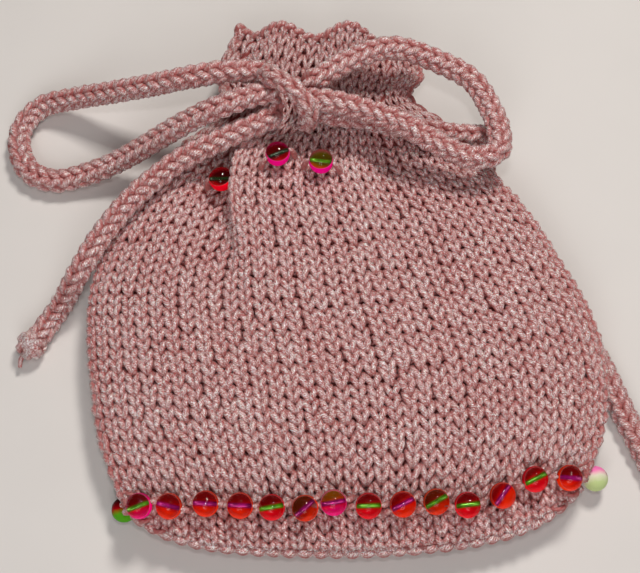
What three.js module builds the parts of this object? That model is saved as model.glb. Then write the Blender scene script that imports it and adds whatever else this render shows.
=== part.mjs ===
// A knitted drawstring pouch with a round of glass beads at its base,
// lying on its back with its mouth toward +Y. Millimetres, +Z up.
import * as THREE from 'three';

// Driving dimensions
const WALL = 3.0;
const GAP = 0.35;
const BEAD_DIAMETER = 8.0;
const BEAD_HOLE = 1.3;
const BEAD_SIDES = 10;
const BASE_BEADS = 29;
const FIRST_BEAD = -0.3;
const BEAD_SEAT = 2.0;
const BEAD_GAP = 0.6;
const CORD_DIAMETER = 8.4;
const CORD_SIDES = 10;
const CORD_STEP = 12.5;
const END_KNOT_DIAMETER = 10.5;

// Courses of knitting, evenly spaced from the bead round (0) past the drawstring (10) to the mouth.
// middleY, crest, under: the course halfway across, on the front face and on the floor side.
// left, right: where the course turns round the two side edges of the flattened pouch.
const COURSES = [
  { middleY: -78, crest: 17.5, under: 8.6, left: [-74.4, -69.5, 12], right: [73.3, -72, 12] },
  { middleY: -65, crest: 23.5, under: 1, left: [-79, -55, 12.5], right: [79.6, -59, 12.5] },
  { middleY: -52, crest: 27, under: 0, left: [-81.6, -40, 13], right: [82.5, -45, 13.5] },
  { middleY: -38, crest: 28.5, under: 0, left: [-82.3, -26, 13.5], right: [82.2, -31, 15.5] },
  { middleY: -24.5, crest: 29, under: 0, left: [-82.5, -12, 14], right: [79, -17, 16.5] },
  { middleY: -11, crest: 29, under: 0, left: [-80.8, 2, 14], right: [73.4, -3.6, 16.5] },
  { middleY: 2.5, crest: 28.5, under: 0, left: [-75.8, 15.3, 14.5], right: [67.8, 9.6, 16.5] },
  { middleY: 16, crest: 27.5, under: 0, left: [-68.5, 27.5, 15], right: [60.6, 22.8, 16.5] },
  { middleY: 29.5, crest: 26.5, under: 1, left: [-59.8, 38.3, 15.5], right: [52.4, 34.5, 16] },
  { middleY: 43, crest: 25.5, under: 5, left: [-50.3, 49, 16], right: [46.8, 46.5, 16] },
  { middleY: 56.5, crest: 23.5, under: 9.6, left: [-35.2, 60, 16.5], right: [32.3, 59.5, 16.5] },
  { middleY: 70, crest: 24, under: 9, left: [-35.5, 75, 16.5], right: [36.5, 67, 16.5] },
  { middleY: 85.4, crest: 25, under: 7.5, left: [-27.5, 91.66, 16.5], right: [35, 75.5, 16.5] },
];
const NECK = 10;
const MOUTH = COURSES.length - 1;

// Shape of one course: a dome over the front, a flat strip underneath that curves up to the edges.
const DOME_POWER = 2.4;
const DOME_ROUNDING = 0.62;
const FLAT_SHARE = 0.68;
const SIDE_POWER = 1.2;
const COURSE_SAG = 1.8;
const COURSE_SKEW = { drop: 4, end: 4 };
const EDGE_INSET = 5 / 3;

// Long folds running down from the neck: across is -1 at the left edge and 1 at the right edge.
const FOLDS = [
  { across: { top: -0.55, foot: -0.33 }, foot: 3.5, depth: 5, innerWidth: 0.08, outerWidth: 0.2 },
  { across: { top: 0.42, foot: 0.35 }, foot: 1.5, depth: 2.8, innerWidth: 0.14, outerWidth: 0.14 },
];
const FOLD_TOP = 8.5;
const FOLD_FADE = [8.8, 10.2];

// Small gathers drawn up at the neck, wider in the ruffle.
const GATHERS = { perFace: 4, phase: 1.45, start: 7.2, neck: 2.3, ruffle: 1, backShare: 0.35 };
const RUFFLE_WAVE = 2.8;

// The knitted base bulges out past the bead round and closes along a line.
const BASE = { bulge: 13.56, power: 5.8, height: 10, fullness: 0.75, rings: [1, 0.68, 0.36] };

const FACE_STEPS = 36;
const RINGS = [0, 0.5, 1, 2, 3, 4, 5, 6, 7, 7.8, 8.4, 9, 9.5, 10, 10.5, 11, 11.5, 12];

// Turn of the base beads, their shift along the bead round, their rise up the cloth and, for the two at the
// corners, their lift off it, from the left edge over the front to the right edge.
const FRONT_BEADS = [
  { tilt: 0, shift: 0.6, rise: 0, lift: 1 },
  { tilt: 20, shift: 1.3, rise: -0.8 },
  { tilt: -12, shift: 0, rise: -0.8 },
  { tilt: 0, shift: 0.9, rise: 0.6 },
  { tilt: 0, shift: 1, rise: 0.3 },
  { tilt: 12, shift: 0, rise: 0 },
  { tilt: 42, shift: -0.3, rise: 0.1 },
  { tilt: 10, shift: -2, rise: 2.6 },
  { tilt: 0, shift: -2, rise: 1 },
  { tilt: 24, shift: -2.3, rise: 0.8 },
  { tilt: 24, shift: -2.6, rise: 0.6 },
  { tilt: 0, shift: -3.5, rise: -1.8 },
  { tilt: 45, shift: -2.9, rise: -0.6 },
  { tilt: 15, shift: -3.8, rise: 3.4 },
  { tilt: -18, shift: -2.4, rise: 0.6 },
  { tilt: 0, shift: -0.5, rise: 0, lift: 1.2 },
];
const NECK_BEADS = [
  { across: -0.535, course: 7.85, tilt: 0 },
  { across: -0.255, course: 8.42, tilt: 25 },
  { across: 0.02, course: 8.15, tilt: -15 },
];

// Drawstring routes: the stretch outside the back of the neck, then each loop and each end from the knot.
const ROUTES = {
  drawstring_neck: [
    [26, 58.8, 5.7], [20, 58.2, 4.7], [13, 57.7, 4.6], [-5, 57.2, 4.6], [-21, 57.7, 4.6],
    [-25, 58.2, 4.8], [-30, 59, 6],
  ],
  bow_loop_left: [
    [-21, 65, 33], [-31.5, 65.5, 34], [-43, 65.6, 32], [-56.5, 67, 26], [-71, 69.8, 18],
    [-84, 72.7, 10.5], [-96.2, 73.2, 5.5], [-103.5, 66.5, 4.5], [-104.7, 58.2, 4.5], [-101.2, 49.1, 4.5],
    [-93, 45, 4.5], [-82.5, 45.5, 6], [-69.5, 47.5, 11], [-56.5, 49, 21], [-44, 50.5, 30.5],
    [-32, 52, 36.5], [-21.5, 55, 36],
  ],
  bow_loop_right: [
    [-2, 60, 34], [8.5, 65.5, 34], [24.5, 70.4, 32.5], [39.5, 65, 30.3], [49.5, 58, 29.5],
    [53.6, 49.3, 29.9], [55.8, 38.2, 31], [54.4, 30.2, 31.8], [46.5, 27.8, 33], [35.5, 32.4, 35.2],
    [23, 40.5, 37.5], [8, 47, 38.6], [-2, 50.5, 37.6],
  ],
  drawstring_tail_left: [
    [-19, 48.5, 30.5], [-28, 45.5, 30], [-36.5, 42.5, 28.8], [-46.5, 39, 27], [-56.5, 33.5, 25],
    [-66.5, 25.5, 23.5], [-75.4, 15.6, 21.8], [-83.4, 5.6, 17.8], [-89.1, 0.1, 10], [-94.2, -4.6, 5.2],
    [-98, -9.2, 4.4],
  ],
  drawstring_tail_right: [
    [3, 49, 29.2], [13, 47, 29.2], [24, 44, 28.3], [34, 41.2, 27.6], [43, 39.8, 25.7],
    [50, 40, 23.4], [55, 40.9, 19.4], [56.8, 41.6, 14], [55, 40.8, 9], [53.8, 36, 5.5],
    [54.6, 28, 4.6], [57.8, 18, 4.4], [62, 7.5, 4.3], [66.8, -4, 4.3], [71.8, -15, 4.3],
    [76.5, -23, 4.3], [80.6, -30.7, 4.3], [84.3, -41.2, 4.3], [87.3, -52.2, 4.3], [90.7, -62.7, 4.3],
    [93.7, -71.2, 4.3],
  ],
};
const BOW_KNOT = { centre: [-11.5, 57.5, 32], along: [0.593, -0.805, 0], half: [10, 8, 8] };

// Materials
const yarn = new THREE.MeshStandardMaterial({ color: 0xc98f92, roughness: 0.75, metalness: 0 });
const cordYarn = new THREE.MeshStandardMaterial({ color: 0xc98f92, roughness: 0.7, metalness: 0 });
const beadGlass = new THREE.MeshStandardMaterial({ color: 0xc4152f, roughness: 0.05, metalness: 0.1 });

const { clamp, lerp, smoothstep } = THREE.MathUtils;

/** Smooth values of the course table at a course number between whole courses. */
function courseAt(course) {
  const base = Math.min(Math.floor(course), MOUTH - 1);
  const k = course - base;
  const near = [-1, 0, 1, 2].map((offset) => COURSES[clamp(base + offset, 0, MOUTH)]);
  const blend = (pick) => {
    const [a, b, c, d] = near.map(pick);
    const linear = (c - a) * k;
    const square = (2 * a - 5 * b + 4 * c - d) * k * k;
    const cube = (3 * b - a - 3 * c + d) * k ** 3;
    return 0.5 * (2 * b + linear + square + cube);
  };
  const edge = (name) => new THREE.Vector3(...[0, 1, 2].map((axis) => blend((row) => row[name][axis])));
  return {
    middleY: blend((row) => row.middleY),
    crest: blend((row) => row.crest),
    under: Math.max(blend((row) => row.under), 0),
    left: edge('left'),
    right: edge('right'),
  };
}

/** How far the cloth is drawn into a gather, 0 on a lobe and 1 in a valley, fading at the edges. */
function gatherValley(across) {
  const turn = Math.acos(clamp(-across, -1, 1));
  const fade = Math.sqrt(Math.max(Math.sin(turn), 0));
  return { valley: 0.5 + 0.5 * Math.cos(2 * GATHERS.perFace * (turn - GATHERS.phase)), fade };
}

/** Depth of the small gathers at a place on the cloth. */
function gatherDepth(across, course) {
  const { valley, fade } = gatherValley(across);
  const neck = GATHERS.neck * smoothstep(course, GATHERS.start, NECK);
  const ruffle = GATHERS.ruffle * smoothstep(course, NECK, MOUTH);
  return (neck + ruffle) * valley * fade;
}

/** Depth of the long front folds at a place on the cloth. */
function foldDepth(across, course) {
  let depth = 0;
  for (const fold of FOLDS) {
    const k = clamp((course - fold.foot) / (FOLD_TOP - fold.foot), 0, 1);
    const line = lerp(fold.across.foot, fold.across.top, k);
    const inward = (across - line) * Math.sign(line) < 0;
    const width = inward ? fold.innerWidth : fold.outerWidth;
    const length = smoothstep(course, fold.foot, FOLD_TOP) * (1 - smoothstep(course, ...FOLD_FADE));
    depth += fold.depth * length * Math.exp(-(((across - line) / width) ** 2));
  }
  return depth;
}

/** A point of the pouch on its front or floor side, on its outer face (inset 0) or its inner face. */
function pouchPoint(side, across, course, inset = 0) {
  const row = courseAt(course);
  const leftX = row.left.x + EDGE_INSET * inset;
  const rightX = row.right.x - EDGE_INSET * inset;
  const edgeY = across < 0 ? row.left.y : row.right.y;
  const edgeZ = lerp(row.left.z, row.right.z, 0.5 + 0.5 * across);
  const reach = Math.abs(across);
  const { valley, fade } = gatherValley(across);
  const wave = RUFFLE_WAVE * smoothstep(course, NECK, MOUTH) * (0.5 - valley) * fade;
  const skew = COURSE_SKEW.drop * (1 - smoothstep(course, 0, COURSE_SKEW.end)) * across * (1 - reach ** 2);
  const y = row.middleY + (edgeY - row.middleY) * reach ** COURSE_SAG - skew + wave;
  let z;
  if (side === 'front') {
    const dome = Math.max(1 - reach ** DOME_POWER, 0) ** DOME_ROUNDING;
    z = edgeZ + (row.crest - inset - edgeZ) * dome - gatherDepth(across, course) - foldDepth(across, course);
  } else {
    const rise = Math.max((reach - FLAT_SHARE) / (1 - FLAT_SHARE), 0);
    const curve = 1 - Math.max(1 - rise ** SIDE_POWER, 0) ** (1 / SIDE_POWER);
    z = row.under + inset + (edgeZ - row.under - inset) * curve + GATHERS.backShare * gatherDepth(across, course);
  }
  return new THREE.Vector3(lerp(leftX, rightX, 0.5 + 0.5 * across), y, z);
}

/** A point of the base, from the bead round (0) to the line that closes it (1). */
function basePoint(side, across, share, inset = 0) {
  const point = pouchPoint(side, across, 0, inset);
  const bulge = (BASE.bulge - inset) * (1 - Math.abs(across) ** BASE.power);
  const turn = share * Math.PI / 2;
  point.y -= bulge * Math.sin(turn) ** BASE.fullness;
  point.z = BASE.height + (point.z - BASE.height) * Math.max(Math.cos(turn), 0) ** BASE.fullness;
  return point;
}

/** Side and place across of the k-th point round a course, starting at the left edge over the front. */
function aroundPouch(k) {
  const side = k <= FACE_STEPS ? 'front' : 'back';
  const step = k <= FACE_STEPS ? k : 2 * FACE_STEPS - k;
  return { side, across: -Math.cos(step * Math.PI / FACE_STEPS) };
}

/** All rings of one face of the pouch, from the closing line of the base to the mouth. */
function pouchRings(inset) {
  const around = Array.from({ length: 2 * FACE_STEPS }, (_, k) => aroundPouch(k));
  const base = BASE.rings.map((share) => around.map(({ side, across }) => basePoint(side, across, share, inset)));
  const body = RINGS.map((course) => around.map(({ side, across }) => pouchPoint(side, across, course, inset)));
  return [...base, ...body];
}

/** The hollow pouch: outer face, inner face and the rim between them at the mouth. */
function pouchGeometry() {
  const positions = [];
  const triangles = [];
  const count = 2 * FACE_STEPS;
  const addRings = (rings) => rings.map((ring, level) => ring.map((point, k) => {
    const closing = level === 0 && k > FACE_STEPS;
    if (!closing) {
      positions.push(point.x, point.y, point.z);
    }
    return closing ? null : positions.length / 3 - 1;
  }));
  const mirrorClosing = (rings) => {
    rings[0] = rings[0].map((index, k) => index ?? rings[0][count - k]);
    return rings;
  };
  const addQuad = (a, b, c, d) => {
    for (const corners of [[a, b, c], [a, c, d]]) {
      if (new Set(corners).size === 3) {
        triangles.push(...corners);
      }
    }
  };
  const outer = mirrorClosing(addRings(pouchRings(0)));
  const inner = mirrorClosing(addRings(pouchRings(WALL)));
  for (let k = 0; k < count; k += 1) {
    const next = (k + 1) % count;
    for (let level = 0; level + 1 < outer.length; level += 1) {
      addQuad(outer[level][k], outer[level][next], outer[level + 1][next], outer[level + 1][k]);
      addQuad(inner[level][k], inner[level + 1][k], inner[level + 1][next], inner[level][next]);
    }
    const rimOut = outer.at(-1);
    const rimIn = inner.at(-1);
    addQuad(rimOut[k], rimOut[next], rimIn[next], rimIn[k]);
  }
  const geometry = new THREE.BufferGeometry();
  geometry.setAttribute('position', new THREE.Float32BufferAttribute(positions, 3));
  geometry.setIndex(triangles);
  geometry.computeVertexNormals();
  return geometry;
}

/** A round bead drilled along its own Y axis. */
function beadGeometry() {
  const radius = BEAD_DIAMETER / 2;
  const hole = BEAD_HOLE / 2;
  const mouth = Math.sqrt(radius ** 2 - hole ** 2);
  const profile = [new THREE.Vector2(hole, -mouth)];
  for (const degrees of [-46, -15, 15, 46]) {
    const angle = THREE.MathUtils.degToRad(degrees);
    profile.push(new THREE.Vector2(radius * Math.cos(angle), radius * Math.sin(angle)));
  }
  profile.push(new THREE.Vector2(hole, mouth));
  profile.push(profile[0].clone());
  return new THREE.LatheGeometry(profile, BEAD_SIDES);
}

/** A bead resting on the cloth, its hole turned in the cloth's plane. */
function addBead(parent, name, point, along, normal, tilt) {
  const bead = new THREE.Mesh(beadGeometry(), beadGlass);
  const axis = along.clone().applyAxisAngle(normal, THREE.MathUtils.degToRad(tilt));
  bead.name = name;
  bead.quaternion.setFromUnitVectors(new THREE.Vector3(0, 1, 0), axis);
  bead.position.copy(point).addScaledVector(normal, BEAD_DIAMETER / 2 + BEAD_GAP);
  parent.add(bead);
}

/** Places along the bead round, measured along the cloth from the left edge over the front. */
function beadRoundPlaces() {
  const samples = 40 * FACE_STEPS;
  const at = (k) => {
    const turn = 2 * Math.PI * k / samples;
    const side = turn <= Math.PI ? 'front' : 'back';
    return { side, across: -Math.cos(turn) };
  };
  const lengths = [0];
  let last = pouchPoint(at(0).side, at(0).across, 0);
  for (let k = 1; k <= samples; k += 1) {
    const point = pouchPoint(at(k).side, at(k).across, 0);
    lengths.push(lengths[k - 1] + point.distanceTo(last));
    last = point;
  }
  const total = lengths[samples];
  const placeAt = (wanted) => at(lengths.findIndex((length) => length >= (wanted + total) % total));
  return Array.from({ length: BASE_BEADS }, (_, bead) => {
    const { shift } = FRONT_BEADS[bead] ?? { shift: 0 };
    const middle = total * (bead + FIRST_BEAD) / BASE_BEADS + shift;
    return { here: placeAt(middle), before: placeAt(middle - BEAD_SEAT), after: placeAt(middle + BEAD_SEAT) };
  });
}

/** The round of beads where the front meets the base. */
function addBaseBeads(parent) {
  const courseLength = COURSES[1].middleY - COURSES[0].middleY;
  beadRoundPlaces().forEach(({ here, before, after }, index) => {
    const { side, across } = here;
    const { tilt, rise, lift = 0 } = FRONT_BEADS[index] ?? { tilt: 0, rise: 0 };
    const course = Math.max(rise, 0) / courseLength;
    const point = pouchPoint(side, across, course);
    const along = pouchPoint(after.side, after.across, 0).sub(pouchPoint(before.side, before.across, 0)).normalize();
    const up = pouchPoint(side, across, course + 0.5).sub(basePoint(side, across, 0.3)).normalize();
    const normal = new THREE.Vector3().crossVectors(along, up).normalize();
    along.addScaledVector(normal, -along.dot(normal)).normalize();
    point.y += Math.min(rise, 0);
    point.addScaledVector(normal, lift);
    addBead(parent, `base_bead_${String(index + 1).padStart(2, '0')}`, point, along, normal, tilt);
  });
}

/** The three beads below the bow. */
function addNeckBeads(parent) {
  const reach = 0.05;
  NECK_BEADS.forEach(({ across, course, tilt }, index) => {
    const point = pouchPoint('front', across, course);
    const right = pouchPoint('front', across + reach, course);
    const left = pouchPoint('front', across - reach, course);
    const along = right.sub(left).normalize();
    const up = pouchPoint('front', across, course + 0.3).sub(pouchPoint('front', across, course - 0.3));
    const normal = new THREE.Vector3().crossVectors(along, up).normalize();
    addBead(parent, `neck_bead_${index + 1}`, point, along, normal, tilt);
  });
}

/** A round knitted cord along a route. */
function addCord(parent, name, route) {
  const curve = new THREE.CatmullRomCurve3(route.map((point) => new THREE.Vector3(...point)), false, 'centripetal');
  const section = new THREE.Shape();
  const radius = CORD_DIAMETER / 2;
  for (let side = 0; side < CORD_SIDES; side += 1) {
    const angle = 2 * Math.PI * side / CORD_SIDES;
    const corner = [radius * Math.cos(angle), radius * Math.sin(angle)];
    if (side === 0) {
      section.moveTo(...corner);
    } else {
      section.lineTo(...corner);
    }
  }
  section.closePath();
  const steps = Math.round(curve.getLength() / CORD_STEP);
  const cord = new THREE.Mesh(new THREE.ExtrudeGeometry(section, { steps, extrudePath: curve }), cordYarn);
  cord.name = name;
  parent.add(cord);
}

/** A knot as a rounded lump, turned so that its own X axis lies along the given direction. */
function addKnot(parent, name, centre, half, along = [1, 0, 0]) {
  const knot = new THREE.Mesh(new THREE.SphereGeometry(1, 12, 8), cordYarn);
  knot.name = name;
  knot.scale.set(...half);
  knot.quaternion.setFromUnitVectors(new THREE.Vector3(1, 0, 0), new THREE.Vector3(...along).normalize());
  knot.position.set(...centre);
  parent.add(knot);
}

/** The knot that stops the free end of a cord, just past the end of its route. */
function addEndKnot(parent, name, route) {
  const [last, tip] = route.slice(-2).map((point) => new THREE.Vector3(...point));
  const half = END_KNOT_DIAMETER / 2;
  const centre = tip.clone().addScaledVector(tip.clone().sub(last).setZ(0).normalize(), half + GAP);
  addKnot(parent, name, [centre.x, centre.y, half], [half, half, half]);
}

const bag = new THREE.Group();
const pouch = new THREE.Mesh(pouchGeometry(), yarn);
pouch.name = 'pouch';
bag.add(pouch);
addBaseBeads(bag);
addNeckBeads(bag);
for (const [name, route] of Object.entries(ROUTES)) {
  addCord(bag, name, route);
}
addKnot(bag, 'bow_knot', BOW_KNOT.centre, BOW_KNOT.half, BOW_KNOT.along);
addEndKnot(bag, 'end_knot_left', ROUTES.drawstring_tail_left);
addEndKnot(bag, 'end_knot_right', ROUTES.drawstring_tail_right);

export default bag;
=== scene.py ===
"""Looks of a small knitted drawstring pouch with glass beads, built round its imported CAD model.

Lengths in the tables and formulas are millimetres in the CAD frame: +Y from the base to the mouth, +Z up
out of the front face. Meshes are turned to metres when they are made.
"""

import logging
import math
from dataclasses import dataclass
from enum import Enum
from typing import Any, Callable, Sequence

import bpy
import numpy as np
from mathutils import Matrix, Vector


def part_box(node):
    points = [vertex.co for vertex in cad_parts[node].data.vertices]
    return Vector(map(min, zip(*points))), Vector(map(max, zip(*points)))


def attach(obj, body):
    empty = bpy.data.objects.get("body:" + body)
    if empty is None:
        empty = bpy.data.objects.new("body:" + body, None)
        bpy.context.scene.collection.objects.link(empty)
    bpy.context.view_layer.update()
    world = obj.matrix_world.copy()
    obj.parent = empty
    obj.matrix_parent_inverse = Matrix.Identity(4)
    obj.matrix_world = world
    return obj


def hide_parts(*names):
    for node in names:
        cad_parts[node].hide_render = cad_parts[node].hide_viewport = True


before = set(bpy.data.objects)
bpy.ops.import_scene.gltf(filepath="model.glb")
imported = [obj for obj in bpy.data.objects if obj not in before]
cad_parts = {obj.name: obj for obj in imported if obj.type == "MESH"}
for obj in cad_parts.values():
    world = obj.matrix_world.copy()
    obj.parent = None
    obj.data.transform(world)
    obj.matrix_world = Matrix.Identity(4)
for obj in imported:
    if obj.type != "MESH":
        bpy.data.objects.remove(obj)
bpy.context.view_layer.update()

MM = 0.001
BODY = "root"
PHOTO_WIDTH_PX = 640
log = logging.getLogger("beaded_bag")


def linear(colour: str) -> tuple[float, float, float, float]:
    """Turn an sRGB hex colour to linear values.

    Args:
        colour: Six hex digits after a hash sign.

    Returns:
        Linear red, green, blue and an alpha of 1.
    """
    channels = [int(colour[k:k + 2], 16) / 255 for k in (1, 3, 5)]
    red, green, blue = [c / 12.92 if c <= 0.04045 else ((c + 0.055) / 1.055) ** 2.4 for c in channels]
    return red, green, blue, 1.0


def add_node(tree: Any, kind: str, inputs: dict | None = None, **settings: Any) -> Any:
    """Add a node with its settings, values and links.

    Args:
        tree: The node tree that takes the node.
        kind: The node's type name.
        inputs: Value or linked socket for each input, by name or number.
        **settings: The node's own properties.

    Returns:
        The new node.
    """
    node = tree.nodes.new(kind)
    for name, value in settings.items():
        setattr(node, name, value)
    for key, value in (inputs or {}).items():
        if isinstance(value, bpy.types.NodeSocket):
            tree.links.new(value, node.inputs[key])
        else:
            node.inputs[key].default_value = value
    return node


def new_material(name: str) -> tuple[Any, Any, Any]:
    """Make an empty node material.

    Args:
        name: The material's name.

    Returns:
        The material, its tree and its output node.
    """
    material = bpy.data.materials.new(name)
    material.use_nodes = True
    tree = material.node_tree
    tree.nodes.clear()
    return material, tree, add_node(tree, "ShaderNodeOutputMaterial")


def mesh_object(name: str, points: np.ndarray, faces: Sequence, edges: Sequence = ()) -> Any:
    """Make a mesh object at the origin from points in millimetres.

    Args:
        name: The object's name.
        points: The points, one row each.
        faces: Index lists of the faces.
        edges: Index pairs of loose edges.

    Returns:
        The new object, linked to the scene.
    """
    mesh = bpy.data.meshes.new(name)
    mesh.from_pydata((np.asarray(points) * MM).tolist(), [tuple(e) for e in edges], [tuple(f) for f in faces])
    mesh.update()
    made = bpy.data.objects.new(name, mesh)
    bpy.context.scene.collection.objects.link(made)
    return made


def unit(vectors: np.ndarray) -> np.ndarray:
    """Scale vectors along the last axis to length 1."""
    return vectors / np.maximum(np.linalg.norm(vectors, axis=-1, keepdims=True), 1e-12)


def running_length(points: np.ndarray) -> np.ndarray:
    """Length along a line of points up to each of them."""
    steps = np.linalg.norm(np.diff(points, axis=0), axis=1)
    return np.concatenate([[0.0], np.cumsum(steps)])


def along_line(wanted: np.ndarray, length: np.ndarray, values: np.ndarray) -> np.ndarray:
    """Values of a line, three for each of its points, at wanted lengths along it."""
    return np.stack([np.interp(wanted, length, values[:, k]) for k in range(3)], axis=1)


def both_sides(face: Callable[..., np.ndarray], front: np.ndarray, *place: Any) -> np.ndarray:
    """Points of a round: on the front face where front is true, on the floor side elsewhere."""
    return np.where(front[:, None], face(True, *place), face(False, *place))


def ring_faces(rings: int, sides: int, closed: bool) -> list[tuple[int, int, int, int]]:
    """Four-sided faces between rings of points.

    Args:
        rings: Number of rings.
        sides: Points in each ring.
        closed: Whether the last ring is joined to the first.

    Returns:
        Index lists of the faces, ring by ring.
    """
    faces = []
    for ring in range(rings if closed else rings - 1):
        low, high = ring * sides, (ring + 1) % rings * sides
        for k in range(sides):
            after = (k + 1) % sides
            faces.append((low + k, low + after, high + after, high + k))
    return faces


def smoothstep(value: np.ndarray, low: float, high: float) -> np.ndarray:
    """Smooth rise from 0 at low to 1 at high."""
    share = np.clip((value - low) / (high - low), 0, 1)
    return share * share * (3 - 2 * share)


@dataclass(frozen=True)
class YarnFinish:
    """Soft plied yarn, drawn as cotton and viscose: matt rose core with shiny pale filaments.

    Short pale flecks, partly the filaments' own colour and partly painted glints, are painted stronger and
    paler on the tops of the stitches, a painted highlight, and the rose is plainer and darker in their hollows,
    painted shade. The real filaments are too fine to show in the render, so the flecks are drawn coarser.
    """

    name: str = "flecked_rose_yarn"
    deep: str = "#9c3c3a"
    core: str = "#b8736f"
    pale: str = "#c9acaa"
    # Top stop of the tone: the pale filaments' colour, also a painted glint on the tops of the stitches.
    fleck_and_painted_glint: str = "#fffaf8"
    roughness: float = 0.6
    shine: float = 0.28
    polish_tones: tuple[float, float] = (0.42, 0.74)
    specular: float = 0.65
    plies: int = 3
    ply_turn_mm: float = 6.0
    # Painted highlight along the ply crowns and painted shade in the grooves between plies.
    ply_painted_light_tone: float = 0.03
    ply_relief: float = 0.12
    twist_mm: float = 4.5
    fleck_mm: float = 0.26
    fleck_stretch: tuple[float, float, float] = (0.8, 1.4, 1.4)
    fleck_grit: float = 0.6
    fibre_mm: float = 0.3
    fibre_bend: float = 0.6
    bump_mm: float = 0.2
    bump: float = 0.4
    # Span of rise over which the painted shade of the hollows turns into the painted highlight of the tops.
    rise: tuple[float, float] = (0.15, 0.9)
    # Tone shift by rise: painted shade in the hollows, painted highlight on the tops.
    painted_top_light_tone: tuple[float, float] = (-0.07, 0.03)
    # Fleck contrast by rise: painted glints weak in the hollows and strongest on the tops.
    painted_glint_contrast: tuple[float, float] = (0.6, 1.8)
    drift_mm: float = 14.0
    drift_tone: float = 0.06
    tones: tuple[float, float, float, float] = (0.37, 0.52, 0.61, 0.71)
    sheen: float = 0.2
    sheen_roughness: float = 0.4
    glow: float = 0.4
    glow_reach: tuple[float, float, float] = (1.0, 0.3, 0.26)
    glow_mm: float = 0.8

    def material(self) -> Any:
        """Build the yarn material.

        It reads the attributes yarn (length along, cosine and sine round it) and rise (how far it faces out); rise
        sets the painted highlight on the tops of the stitches and the painted shade in their hollows.

        Returns:
            The material.
        """
        material, tree, output = new_material(self.name)
        yarn = add_node(tree, "ShaderNodeAttribute", attribute_name="yarn")
        parts = add_node(tree, "ShaderNodeSeparateXYZ", {0: yarn.outputs["Vector"]})
        angle = add_node(tree, "ShaderNodeMath", {0: parts.outputs["Z"], 1: parts.outputs["Y"]}, operation="ARCTAN2")
        turns = add_node(tree, "ShaderNodeMath", {0: angle.outputs[0], 1: float(self.plies)}, operation="MULTIPLY")
        phase = add_node(
            tree, "ShaderNodeMath",
            {0: parts.outputs["X"], 1: 2 * math.pi * self.plies / self.ply_turn_mm, 2: turns.outputs[0]},
            operation="MULTIPLY_ADD",
        )
        ply = add_node(tree, "ShaderNodeMath", {0: phase.outputs[0]}, operation="COSINE")
        twist = add_node(
            tree, "ShaderNodeMath",
            {0: parts.outputs["X"], 1: 2 * math.pi / self.twist_mm, 2: angle.outputs[0]}, operation="MULTIPLY_ADD",
        )
        across = add_node(tree, "ShaderNodeMath", {0: twist.outputs[0]}, operation="COSINE")
        around = add_node(tree, "ShaderNodeMath", {0: twist.outputs[0]}, operation="SINE")
        helix = add_node(tree, "ShaderNodeCombineXYZ",
                         {0: parts.outputs["X"], 1: across.outputs[0], 2: around.outputs[0]})
        place = add_node(tree, "ShaderNodeVectorMath", {0: helix.outputs[0], 1: self.fleck_stretch},
                         operation="MULTIPLY")
        flecks = add_node(
            tree, "ShaderNodeTexNoise",
            {"Vector": place.outputs[0], "Scale": 1 / self.fleck_mm, "Detail": 2.0, "Roughness": self.fleck_grit},
        )
        fibres = add_node(
            tree, "ShaderNodeTexNoise",
            {"Vector": place.outputs[0], "Scale": 1 / self.fibre_mm, "Detail": 2.0, "Distortion": self.fibre_bend},
        )
        spot = add_node(tree, "ShaderNodeTexCoord")
        drift = add_node(
            tree, "ShaderNodeTexNoise",
            {"Vector": spot.outputs["Object"], "Scale": 1000 / self.drift_mm, "Detail": 1.0},
        )
        # Painted light: rise makes the flecks stronger and the tone paler on the tops, darker in the hollows.
        rise = add_node(tree, "ShaderNodeAttribute", attribute_name="rise")
        centred = add_node(tree, "ShaderNodeMath", {0: flecks.outputs["Fac"], 1: 0.5}, operation="SUBTRACT")
        painted_glint_contrast = add_node(tree, "ShaderNodeMapRange",
                            {"Value": rise.outputs["Fac"], "From Min": self.rise[0], "From Max": self.rise[1],
                             "To Min": self.painted_glint_contrast[0], "To Max": self.painted_glint_contrast[1]})
        painted_glint_flecks = add_node(tree, "ShaderNodeMath", {0: centred.outputs[0], 1: painted_glint_contrast.outputs[0], 2: 0.5},
                           operation="MULTIPLY_ADD")
        # The ply pattern adds painted highlight and painted shade to the tone.
        shade = add_node(tree, "ShaderNodeMath", {0: ply.outputs[0], 1: self.ply_painted_light_tone, 2: painted_glint_flecks.outputs[0]},
                         operation="MULTIPLY_ADD")
        mottle = add_node(tree, "ShaderNodeMath",
                          {0: drift.outputs["Fac"], 1: self.drift_tone, 2: shade.outputs[0]},
                          operation="MULTIPLY_ADD")
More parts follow.
